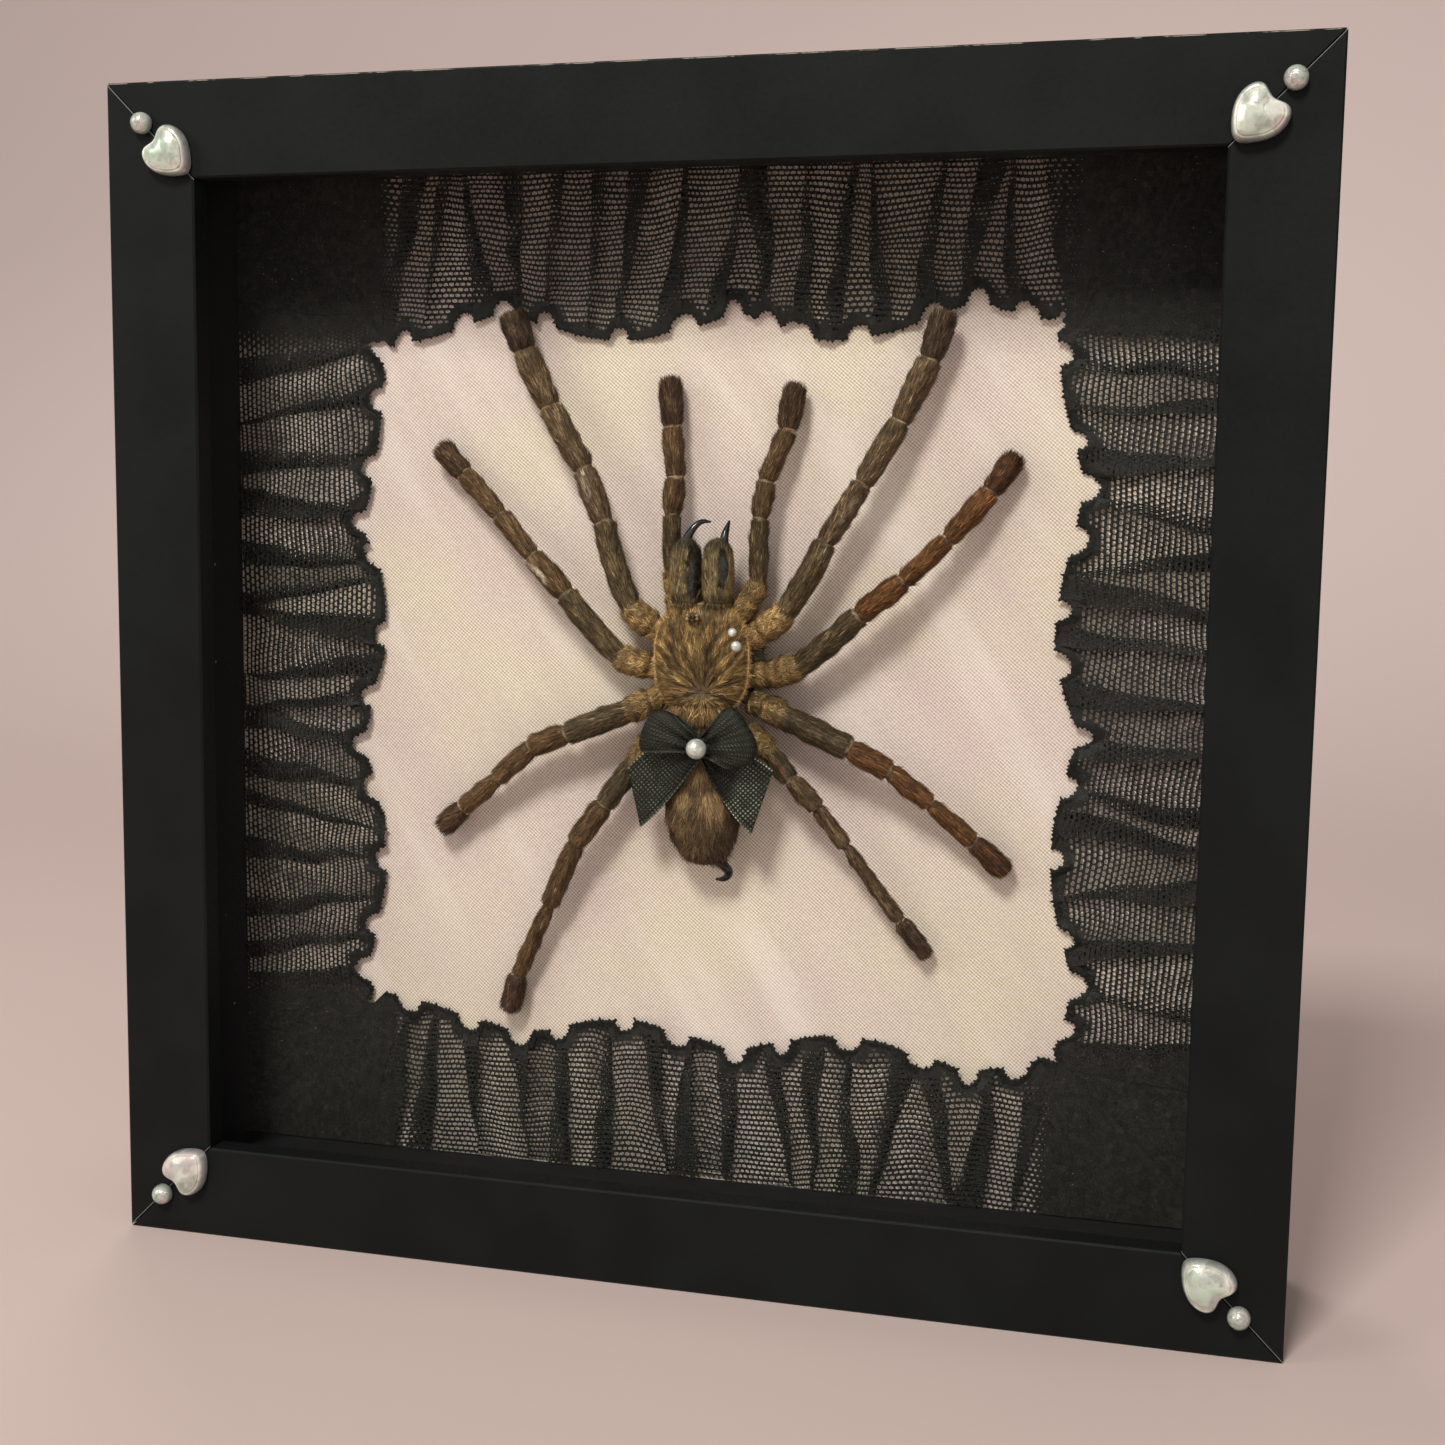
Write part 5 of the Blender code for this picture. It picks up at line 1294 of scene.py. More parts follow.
def make_limb(name, seed):
    """One limb: a skin with pale joint membranes, under short hair that lies towards the tip."""
    rng = np.random.default_rng(seed)
    joints, radii = LIMBS[name]
    is_leg = name.startswith("leg")
    profiles = LEG_PROFILES if is_leg else PALP_PROFILES
    centres, reach, segments, shares, gaps = limb_rings(
        joints, radii, profiles, FEMUR_BOWS.get(name), MEMBRANES[is_leg]
    )
    in_gap = smoothstep(0.5, 0.1, gaps)
    radius = (reach - HAIR_DEPTH) * (1 - 0.06 * in_gap)
    coxal = segments >= len(radii) - 2
    folds = np.abs(np.sin(shares * math.pi * 3 + 0.5)) ** 0.6 * 0.22 * coxal
    angles = full_turn(LIMB_SIDES)
    reached = np.concatenate(([0], np.cumsum(np.linalg.norm(np.diff(centres, axis=0), axis=1))))

    def section(angle, radius):
        return stacked(radius * np.cos(angle), radius * np.sin(angle))

    around = section(angles, np.full((len(centres), 1), LIMB_ROUND))
    along_limb = np.broadcast_to(reached[:, None], around.shape[:2])
    lumps = wobble(np.concatenate((around, along_limb[..., None]), axis=-1), 3.5, seed)
    rings = tube_rings(centres, radius[:, None] + folds[:, None] + lumps * 0.14, LIMB_SIDES)
    light, red = LIMB_TONES[name]
    ramp = np.array([rgb(*tint) for tint in (LEG_RAMP if is_leg else PALP_RAMP)]) * light
    ramp[:FEMUR] *= (red, 1.0, 1 / red)
    base = ramp[segments]
    soft = np.ones(9) / 9
    near_body = smoothstep(len(radii) - 3.2, len(radii) - 2.2, segments + 1 - shares)
    padded = [np.pad(part, 4, "edge") for part in base.T]
    blended = np.stack([np.convolve(part, soft, mode="valid") for part in padded], axis=-1)
    base = blend_to(base, blended, near_body)
    mottled = wobble(np.concatenate((around, along_limb[..., None] * 0.4), axis=-1), 3.0, seed + 1)
    tints = base[:, None] * np.exp(0.16 * mottled)[..., None]
    bare = np.zeros((len(centres), LIMB_SIDES))
    for (limb, segment), (low, high, turn, half, tint) in BALD.items():
        if limb == name:
            along = smoothstep(low, low + 0.08, shares) * smoothstep(high, high - 0.08, shares)
            off = np.abs((angles - turn + math.pi) % (2 * math.pi) - math.pi)
            patch = (along * (segments == segment))[:, None] * smoothstep(half, half * 0.6, off)
            patch = patch * smoothstep(-0.5, 0.3, wobble(rings, 1.6, seed + 2))
            tints = blend_to(tints, rgb(*tint), patch)
            bare = np.maximum(bare, patch)
    cream = np.where((segments < 2)[:, None, None], rgb(*TIP_MEMBRANE), rgb(*BODY_MEMBRANE))
    round_limb = stacked(segments[:, None] * 7.0, np.cos(angles) * 3, np.sin(angles) * 3)
    patchy = wobble(round_limb, 3.0, seed + 3)
    membrane = smoothstep(0.26, 0.12, gaps)[:, None] * smoothstep(-0.5, 0.9, patchy)
    skin_tints = blend_to(tints * 0.75, tints, bare)
    skin_tints = blend_to(skin_tints, cream, membrane)
    shape = Shape()
    ahead = unit(centres[1] - centres[0])
    tip = centres[0] - ahead * 0.12 * radii[0]
    add_loft(shape, rings, tip, centres[-1] + (centres[-1] - centres[-2]), skin_tints)

    count = LEG_HAIRS if is_leg else PALP_HAIRS
    covered = smoothstep(0.10, 0.35, gaps)[:, None] * (1 - 0.93 * bare)
    lower = np.where(np.abs((angles + math.pi) % (2 * math.pi) - math.pi) > 2.5, 0.25, 1.0)
    spots, normals, along, under, ring, turn = scatter(rings, tints, count, covered * lower, rng)
    index = np.minimum(ring.astype(int), len(segments) - 1)
    segment = segments[index]
    curly = coxal[index]
    span = np.linalg.norm(np.diff(np.array(joints), axis=0), axis=1)[segment]
    to_joint = shares[index] * span
    length = rng.uniform(*LIMB_HAIR[:2], count) * np.where(segment == 0, 0.85, 1.0)
    has_gap = np.isin(segment, MEMBRANES[is_leg])
    length = np.where(has_gap, np.minimum(length, to_joint + rng.uniform(0.0, 0.45, count)), length)
    length = np.where(segment == 0, np.minimum(length, to_joint + 1.0), length)
    side = np.cross(along, normals)
    aside = rng.normal(scale=0.11, size=(count, 1)) * np.where(curly, 3.5, 1.0)[:, None]
    rise = np.minimum(rng.uniform(0.5, 1.4, count) * HAIR_DEPTH / length, 0.75)
    stray = (rng.random(count) < STRAY_SHARE) & ~curly
    rise = np.where(stray, rng.uniform(0.4, 0.9, count), rise)
    length = np.where(stray, length * 0.7, length)
    heading = unit(-along + side * aside + normals * rise[:, None])
    tuft = (segment == 0) & (to_joint < radii[0] * 0.9)
    outward = unit(spots - centres[np.minimum(index + 4, len(centres) - 1)])
    heading = np.where(tuft[:, None], unit(heading + outward * 0.5), heading)
    roots = spots - normals * 0.04
    from_tip = np.interp(ring, np.arange(len(reached)), reached)
    streaked = strands(section(turn * 2 * math.pi, LIMB_ROUND), from_tip, 0.6, 4.5, seed + 4)
    band = np.exp(0.50 * streaked) * (1 + 0.33 * np.sin(shares[index] * 2 * math.pi * 3 + 0.6) * curly)
    colours = hair_tints(under * band[:, None], rng)
    widths = rng.uniform(*LIMB_HAIR[2:], count) * np.where(stray, 0.55, 1.0)
    straight = ~curly
    add_hairs(
        shape, roots[straight], heading[straight], normals[straight], length[straight], widths[straight],
        colours[straight], HAIR,
    )
    bend = side * rng.normal(scale=0.75, size=(count, 1)) - normals * 0.25
    add_hairs(
        shape, roots[curly], heading[curly], normals[curly], length[curly] * 0.9, widths[curly] * 0.8,
        colours[curly] * 1.1, HAIR, bend=bend[curly],
    )
    dress(shape, f"furred_{name}", name, ["skin", "hair"])


def superellipse(angle, power):
    cosine, sine = np.cos(angle), np.sin(angle)
    size = (np.abs(cosine) ** power + np.abs(sine) ** power) ** (-1 / power)
    return cosine * size, sine * size


def soft_spot(right, up, middle, half):
    """One at the middle of a spot, fading over its half width and half height."""
    return np.exp(-(((right - middle[0]) / half[0]) ** 2) - ((up - middle[1]) / half[1]) ** 2)


def away_from_middle(points):
    """Directions away from the middle of the body, level with the satin."""
    return unit((points - np.array((*BODY_MIDDLE, 0.0))) * IN_PLANE)


def near_line(right, up, start, end):
    """Distance from a line between two places on the carapace, and the share along it."""
    start, end = np.array(start), np.array(end)
    along = end - start
    share = ((right - start[0]) * along[0] + (up - start[1]) * along[1]) / (along @ along)
    held = np.clip(share, 0, 1)
    return np.hypot(right - start[0] - along[0] * held, up - start[1] - along[1] * held), held


def carapace_skin(seed):
    """Rings of the carapace with grooves that run out from the fovea, their tints, shade and reach."""
    rows, sides = CARAPACE_GRID
    table = spline_rows(CARAPACE_RINGS, rows)
    angles = full_turn(sides)
    across, above = superellipse(angles, CARAPACE_SQUARENESS)
    half_width, height, share = (table[:, column][:, None] for column in range(3))
    half_width = half_width - CARAPACE_INSET
    half_width = half_width * np.where(across > 0, RIGHT_NARROWER, 1.0)
    right = FOVEA[0] + (BODY_MIDDLE[0] - FOVEA[0]) * share + across * half_width
    half_up = (table[:, :1] - CARAPACE_INSET) * CARAPACE_HALF[1] / CARAPACE_HALF[0]
    up = FOVEA[1] + (BODY_MIDDLE[1] - FOVEA[1]) * share + above * half_up
    height = np.broadcast_to(height, right.shape) - CARAPACE_INSET
    on_top = smoothstep(8.2, 9.4, height)
    shade = np.zeros(right.shape)
    for start, end, half, depth in GROOVES:
        far, held = near_line(right, up, start, end)
        cut = np.exp(-((far / half) ** 2)) * smoothstep(0.0, 0.1, held) * smoothstep(1.0, 0.75, held)
        height = height - depth * cut * on_top
        shade = np.maximum(shade, 0.80 * np.exp(-((far / (half * 1.1)) ** 2)) * smoothstep(1.0, 0.4, held))
    pit = soft_spot(right, up, FOVEA_PIT, FOVEA_PIT_HALF)
    height = height - 0.6 * pit * on_top
    for patch_right, patch_up, wide, tall, strength in DARK_PATCHES:
        spot = soft_spot(right, up, (patch_right, patch_up), (wide, tall))
        shade = np.maximum(shade, strength * spot)
    rings = stacked(right, up, height)
    polar = np.arctan2(up - FOVEA[1], right - FOVEA[0])
    from_fovea = np.hypot(right - FOVEA[0], up - FOVEA[1])
    rays = strands(stacked(np.cos(polar), np.sin(polar)), from_fovea, 0.16, 5.0, seed + 2)
    height = height + 0.10 * rays * on_top
    reach = table[:, :1] * np.ones_like(right)
    edge = smoothstep(10.1, 10.6, reach) * smoothstep(8.0, 8.6, height)
    mottled = wobble(rings, 3.2, seed + 3)
    tints = rgb(*CARAPACE_GOLD) * np.exp(0.42 * rays + 0.24 * mottled)[..., None]
    tints = blend_to(tints, rgb(*CARAPACE_EDGE), edge * 0.75)
    tints = blend_to(tints, rgb(*CARAPACE_DARK), shade * on_top)
    tints = blend_to(tints, rgb(*CARAPACE_LOW), smoothstep(8.0, 5.0, height))
    front_line = np.exp(-(((up - 17.35) / 0.28) ** 2)) * smoothstep(7.5, 5.5, np.abs(right - 1.4))
    tints = blend_to(tints, rgb(*FRONT_LINE), front_line * 0.8)
    return stacked(right, up, height), tints, shade, reach


def add_rim_lines(shape, rings, reach, seed):
    """Pale raised lines along parts of the rim."""
    widest = rings[np.argmax(reach[:, 0]) + RIM_ABOVE]
    for start, end in RIM_LINES:
        line = widest[np.arange(start, end) % len(widest)]
        outwards = away_from_middle(line)
        taper = np.sin(np.linspace(0, math.pi, len(line))) ** 0.5
        ragged_line = RIM_RADIUS * taper * (1 + 0.3 * wobble(line, 1.5, seed + 5))
        line = line + outwards * RIM_OUT
        add_loft(shape, tube_rings(line, ragged_line, RIM_SIDES), line[0], line[-1], rgb(*RIM_LINE))


def add_golden_coat(shape, rng, rings, tints, shade, seed):
    """Short hair that runs out from the fovea, and forwards between the eyes and the grooves."""
    right, up, height = np.moveaxis(rings, -1, 0)
    beside_eyes = (right - EYE_MOUND[0]) / EYE_MOUND_HALF[0]
    from_eyes = np.hypot(beside_eyes, (up - EYE_MOUND[1] + 0.5) / EYE_MOUND_HALF[1])
    density = smoothstep(5.0, 8.5, height) * (1 - 0.55 * shade) * smoothstep(0.9, 1.8, from_eyes)
    spots, normals, _, under, _, _ = scatter(rings, tints, CARAPACE_HAIRS, density, rng)
    out = spots - np.array((*FOVEA, 12.0))
    out[:, 2] = 0
    radial = unit(out)
    forwards = smoothstep(3.0, 12.0, spots[:, 1]) * smoothstep(6.5, 3.5, np.abs(spots[:, 0] - 1.0))
    flow = unit(radial * (1 - forwards)[:, None] + np.array((0.0, 1.0, 0.0)) * forwards[:, None])
    flow = unit(flow - normals * np.einsum("ij,ij->i", flow, normals)[:, None])
    stray = np.cross(flow, normals) * rng.normal(scale=0.22, size=(CARAPACE_HAIRS, 1))
    heading = unit(flow + stray + normals * rng.uniform(0.08, 0.3, (CARAPACE_HAIRS, 1)))
    turned = np.arctan2(out[:, 1], out[:, 0])
    clumped = strands(
        stacked(np.cos(turned), np.sin(turned)), np.linalg.norm(out, axis=1), 0.075, 3.0, seed + 4
    )
    roots = spots - normals * 0.03
    add_coat(
        shape, rng, roots, heading, normals, CARAPACE_HAIR, under * np.exp(0.46 * clumped)[:, None], 0.36
    )


def add_fringe(shape, rng, rings, tints, reach):
    """Fine hair that stands out from the rim, sparse at the front."""
    _, up, height = np.moveaxis(rings, -1, 0)
    rim = smoothstep(9.8, 10.5, reach) * smoothstep(7.9, 8.4, height) * smoothstep(10.6, 9.4, height)
    rim = rim * np.where(up > 15.5, 0.15, 1.0)
    spots, normals, *_ = scatter(rings, tints, FRINGE_HAIRS, rim + 1e-9, rng)
    out = away_from_middle(spots)
    stray = np.cross(out, FORWARDS) * rng.normal(scale=0.7, size=(FRINGE_HAIRS, 1))
    heading = unit(out + stray + FORWARDS * rng.uniform(-0.1, 0.4, (FRINGE_HAIRS, 1)))
    bend = np.cross(heading, normals) * rng.normal(scale=0.35, size=(FRINGE_HAIRS, 1))
    bend[:, 2] -= rng.uniform(0.1, 0.5, FRINGE_HAIRS)
    facing = facing_viewer(heading)
    add_coat(shape, rng, spots, heading, facing, FRINGE_HAIR, rgb(*FRINGE_GOLD), bend=bend)


def add_rear_brush(shape, rng, rings, tints):
    """Long hair that hangs back over the waist."""
    _, up, height = np.moveaxis(rings, -1, 0)
    rear = smoothstep(-3.2, -5.2, up) * smoothstep(5.0, 7.5, height)
    spots, *_ = scatter(rings, tints, REAR_HAIRS, rear + 1e-9, rng)
    back = np.array((0.0, -1.0, 0.0))
    stray = rng.normal(scale=0.4, size=(REAR_HAIRS, 3)) * np.array((1.0, 0.3, 0.3))
    heading = unit(back + stray + np.array((0.0, 0.0, 0.12)))
    bend = stray * 0.8
    bend[:, 2] = -0.6
    facing = facing_viewer(heading)
    add_coat(shape, rng, spots, heading, facing, REAR_HAIR, rgb(*REAR_BRUSH), 0.4, bend=bend)


def add_flank(shape, rng):
    """The dark body between the coxae, under the carapace, with hair of its own: its dark brown is partly its
    own colour and partly painted shade in the gaps.
    """
    flank = ball_rings((*BODY_MIDDLE, FLANK_HEIGHT), FLANK_HALF, *FLANK_GRID)
    dark = np.broadcast_to(rgb(*FLANK_DARK_AND_SHADE), flank.shape)
    below, over = ((*BODY_MIDDLE, FLANK_HEIGHT + side * FLANK_HALF[2]) for side in (-1, 1))
    add_loft(shape, flank, below, over, dark)
    spots, normals, _, under, _, _ = scatter(flank, dark, FLANK_HAIRS, np.ones(flank.shape[:2]), rng)
    out = away_from_middle(spots)
    heading = unit(out + rng.normal(scale=0.4, size=(FLANK_HAIRS, 3)) + normals * 0.3)
    add_coat(shape, rng, spots, heading, facing_viewer(heading), FLANK_HAIR, under)


def add_eyes(shape):
    """Eight eyes on their mound."""
    mound = np.array(EYE_MOUND)
    mound_half = np.array(EYE_MOUND_HALF) - 0.15
    add_ball(shape, mound, mound_half, rgb(*EYE_MOUND_BROWN), SKIN)
    for across_mound, along_mound, size, tint in EYES:
        tilt = np.array((across_mound, along_mound))
        lift = math.sqrt(max(0.0, 1 - (tilt**2).sum() * 0.9))
        spot = mound + mound_half * np.array((*tilt, lift)) * 0.93
        add_ball(shape, spot, np.full(3, size), tint, HORN)


def make_carapace(seed):
    """The carapace with its golden hair, the body under it, and the eyes."""
    rng = np.random.default_rng(seed)
    rings, tints, shade, reach = carapace_skin(seed)
    shape = Shape()
    add_loft(shape, rings, (*BODY_MIDDLE, CARAPACE_FOOT), (*FOVEA, FOVEA_HEIGHT - 0.75), tints * 0.85)
    add_rim_lines(shape, rings, reach, seed)
    add_golden_coat(shape, rng, rings, tints, shade, seed)
    add_fringe(shape, rng, rings, tints, reach)
    add_rear_brush(shape, rng, rings, tints)
    add_flank(shape, rng)
    add_eyes(shape)
    dress(shape, "furred_carapace", "cephalothorax", ["skin", "hair", "horn"])


def ball_rings(middle, half, rows, sides):
    polar = (np.arange(rows) + 1) / (rows + 1) * math.pi
    angles = full_turn(sides)
    ring = np.sin(polar)[:, None]
    spots = stacked(ring * np.cos(angles), ring * np.sin(angles), -np.cos(polar)[:, None])
    return np.asarray(middle) + spots * np.asarray(half)


def add_ball(shape, middle, half, tint, kind, rows=12, sides=20):
    down = FORWARDS * half
    rings = ball_rings(middle, half, rows, sides)
    add_loft(shape, rings, middle - down, middle + down, np.asarray(tint), kind)


def make_abdomen(seed):
    """The egg-shaped abdomen under long soft hair, with one dark curled spinneret."""
    rng = np.random.default_rng(seed)
    rows, sides = ABDOMEN_GRID
    ends = ((0.0, 0.8), *ABDOMEN_RINGS, (31.7, 1.4))
    table = spline_rows(ends, rows)
    angles = full_turn(sides)
    half = np.maximum(table[:, 1] - ABDOMEN_INSET, 0.4)
    right = ABDOMEN_RIGHT + half[:, None] * np.cos(angles)
    up = ABDOMEN_START - table[:, :1] + 0 * angles
    height = ABDOMEN_HEIGHT + half[:, None] * ABDOMEN_FLATNESS * np.sin(angles)
    rings = stacked(right, up, height)
    rings = rings + unit(rings - np.array((ABDOMEN_RIGHT, -22.0, ABDOMEN_HEIGHT))) * (
        0.22 * wobble(rings, 5.0, seed + 1)[..., None]
    )
    tints = rgb(*ABDOMEN_BROWN) * np.exp(0.28 * wobble(rings, 4.0, seed + 4))[..., None]
    for patches, tint in ((ABDOMEN_PALE, ABDOMEN_PALE_TINT), (ABDOMEN_DARK, ABDOMEN_DARK_TINT)):
        for patch_right, patch_up, wide, tall, strength in patches:
            ragged = 1 + 0.25 * wobble(rings, 3.0, seed + 2)
            far = ((right - patch_right) / wide) ** 2 + ((up - patch_up) / tall) ** 2
            spot = strength * smoothstep(1.9, 0.3, far * ragged)
            tints = blend_to(tints, rgb(*tint), spot)
    shape = Shape()
    start = (ABDOMEN_RIGHT, ABDOMEN_START, ABDOMEN_HEIGHT)
    end = (ABDOMEN_RIGHT, ABDOMEN_START - ABDOMEN_LENGTH + 0.2, ABDOMEN_HEIGHT)
    add_loft(shape, rings, start, end, tints * 0.8)
    lower = np.where(height < ABDOMEN_HEIGHT - 3.5, 0.2, 1.0)
    spots, normals, along, under, _, _ = scatter(rings, tints, ABDOMEN_HAIRS, lower, rng)
    swirl = wobble(spots, 6.0, seed + 3)[:, None] * 0.35 + rng.normal(scale=0.22, size=(ABDOMEN_HAIRS, 1))
    tangled = smoothstep(-28.0, -36.0, spots[:, 1])[:, None]
    side = np.cross(along, normals)
    rise = rng.uniform(0.02, 0.20, (ABDOMEN_HAIRS, 1))
    heading = unit(along + side * swirl * (1 + tangled) + normals * rise)
    bend = side * rng.normal(scale=0.25, size=(ABDOMEN_HAIRS, 1)) - normals * 0.15
    shorter = smoothstep(-40.5, -36.0, spots[:, 1] - 1.0).clip(0.45, 1)
    lying = strands(spots[:, (0, 2)], spots[:, 1] + 2 * wobble(spots, 7.0, seed + 5), 0.8, 5.0, seed + 6)
    roots = spots - normals * 0.04
    streaked = under * np.exp(0.30 * lying)[:, None]
    add_coat(
        shape, rng, roots, heading, normals, ABDOMEN_HAIR, streaked, 0.30, 0.12, scale=shorter, bend=bend
    )
    at_tuft = soft_spot(rings[..., 0], rings[..., 1], TUFT, TUFT_HALF) + 1e-9
    spots, normals, *_ = scatter(rings, tints, TUFT_HAIRS, at_tuft, rng)
    towards = unit(np.array(TUFT_TOWARDS) - spots)
    heading = unit(towards + rng.normal(scale=0.3, size=(TUFT_HAIRS, 3)) + normals * 0.25)
    lengths, widths = rng.uniform(*TUFT_HAIR[:2], TUFT_HAIRS), rng.uniform(*TUFT_HAIR[2:], TUFT_HAIRS)
    colours = hair_tints(np.broadcast_to(rgb(*TUFT_DARK), spots.shape), rng)
    bend = rng.normal(scale=0.35, size=(TUFT_HAIRS, 3))
    add_hairs(shape, spots, heading, normals, lengths, widths, colours, HAIR, bend=bend)
    path = spline_rows(SPINNERET, 28)
    rings = tube_rings(path[:, :3], path[:, 3] - 0.1, SPINNERET_SIDES)
    add_loft(shape, rings, path[0, :3], path[-1, :3], SPINNERET_BLACK, HORN)
    dress(shape, "furred_abdomen", "abdomen", ["skin", "hair", "horn"])


def make_chelicera(side, seed):
    """A jaw: a furred block with a bare glossy groove, and its curved fang."""
    rng = np.random.default_rng(seed)
    rows, sides = CHELICERA_GRID
    table = spline_rows(((0.0, 0.80), *CHELICERA_RINGS, (13.05, 0.2)), rows)
    angles = full_turn(sides)
    across, high = superellipse(angles, CHELICERA_SQUARENESS)
    half_width, half_height = np.array(CHELICERA_HALF) - CHELICERA_INSET
    share = np.maximum(table[:, 1], 0.12)[:, None]
    middle = CHELICERA_AT[side]
    right = middle + half_width * share * across
    reached = table[:, :1] + 0 * angles
    up = CHELICERA_START + reached
    height = CHELICERA_HEIGHT + half_height * share * high
    groove_at, groove_half, low, top = CHELICERA_GROOVES[side]
    part = np.clip((reached - low) / (top - low), 0, 1)
    ragged = groove_half * (0.45 + 0.55 * np.sin(part * math.pi) ** 0.6)
    ragged = ragged + 0.22 * wobble(stacked(right * 0.4, reached), 2.4, seed + 2)
    off_groove = np.abs(right - middle - groove_at - 0.35 * np.sin(part * 2.4))
    bare = smoothstep(ragged + 0.15, ragged - 0.25, off_groove) * (high > 0)
    bare = bare * smoothstep(low - 0.3, low + 0.4, reached) * smoothstep(top + 0.3, top - 0.6, reached)
    height = height - CHELICERA_GROOVE_DEPTH * bare
    rings = stacked(right, up, height)
    rings = rings + stacked(0 * right, 0 * up, 0.14 * wobble(rings, 2.2, seed))
    streaked = strands(rings[..., (0, 2)], rings[..., 1], 0.9, 5.0, seed + 1)
    tints = rgb(*JAW_BROWN) * np.exp(0.28 * streaked + 0.2 * wobble(rings, 3.5, seed + 3))[..., None]
    outer_edge = smoothstep(0.62, 0.95, -across if side == "left" else across) * np.ones_like(right)
    tints = blend_to(tints, rgb(*JAW_EDGE), outer_edge * 0.7)
    far_end = smoothstep(9.0, 12.0, reached)
    tints = blend_to(tints, rgb(*JAW_FAR_END), far_end * 0.85)
    tints = blend_to(tints, rgb(*JAW_NEAR_END), smoothstep(1.6, 0.2, reached) * 0.7)
    tints = blend_to(tints, GROOVE_BLACK, bare)
    shape = Shape()
    start = (middle, CHELICERA_START, CHELICERA_HEIGHT)
    end = (middle, CHELICERA_START + CHELICERA_LENGTH - 0.1, CHELICERA_HEIGHT)
    glossy = np.where(bare[:-1].ravel() > 0.6, HORN, SKIN)
    add_loft(shape, rings, start, end, tints * np.where(bare > 0.6, 1.0, 0.8)[..., None], face_kinds=glossy)
    density = (1 - 0.97 * bare) * np.where(high < -0.3, 0.3, 1.0)
    spots, normals, along, under, _, _ = scatter(rings, tints, CHELICERA_HAIRS, density, rng)
    stray = np.cross(along, normals) * rng.normal(scale=0.14, size=(CHELICERA_HAIRS, 1))
    heading = unit(along + stray + normals * rng.uniform(0.05, 0.28, (CHELICERA_HAIRS, 1)))
    clumped = strands(spots[:, (0, 2)], spots[:, 1], 0.5, 3.5, seed + 4)
    roots = spots - normals * 0.03
    add_coat(
        shape, rng, roots, heading, normals, CHELICERA_HAIR, under * np.exp(0.40 * clumped)[:, None], 0.36
    )
    at_fang = far_end * (high > -0.2) * (reached < 12.4) + 1e-9
    spots, normals, along, *_ = scatter(rings, tints, BRISTLES, at_fang, rng)
    heading = unit(along + rng.normal(scale=0.25, size=(BRISTLES, 3)) + normals * 0.35)
    bend = rng.normal(scale=0.2, size=(BRISTLES, 3))
    add_coat(shape, rng, spots, heading, normals, BRISTLE, rgb(*BRISTLE_DARK), bend=bend)
    path = spline_rows(FANGS[side], 34)
    rings = tube_rings(path[:, :3], np.maximum(path[:, 3], 0.08), FANG_SIDES)
    tip = path[-1, :3] + (path[-1, :3] - path[-2, :3]) * 0.6
    add_loft(shape, rings, path[0, :3], tip, FANG_BLACK, HORN)
    looks = ["skin", "hair", "horn"]
    dress(shape, f"furred_chelicera_{side}", f"chelicera_{side}", looks)


# Bow, pearls and hearts


def share_grid(rows, columns):
    """Shares from 0 to 1, along and across a ribbon."""
    return np.meshgrid(np.linspace(0, 1, rows), np.linspace(0, 1, columns), indexing="ij")


def knot_end(first, second, across):
    """The point across the narrow end of a ribbon at the knot, parallel to its far end."""
    direction = unit(np.array(second) - np.array(first))
    return np.array(KNOT[:2]) + direction * KNOT_RIBBON_HALF * (2 * across[..., None] - 1)


def add_ribbon(shape, cloth, spots, length, width, tone, start=0.0):
    """A strip of ribbon as a grid of spots, along then across, with its own flat coordinates."""
    rows, columns = spots.shape[:2]
    across = np.linspace(0, 1, columns)
    from_edge = np.minimum(across, 1 - across)
    beside_edge = smoothstep(0.05, 0.07, from_edge) * smoothstep(0.13, 0.09, from_edge)
    edge = 1.3 * smoothstep(0.045, 0.02, from_edge) - 0.45 * beside_edge
    # tone carries painted light and shade; the tint is also lighter at the very edges, with a darker line
    # just inside them
    tints = np.array(RIBBON_TINT) * (tone * (1 + edge))[..., None]
    shape.add(spots.reshape(-1, 3), grid_faces(rows, columns), tints.reshape(-1, 3))
    along, over = np.meshgrid(start + np.linspace(0, length, rows), across * width, indexing="ij")
    cloth.append(stacked(along, over).reshape(-1, 2))


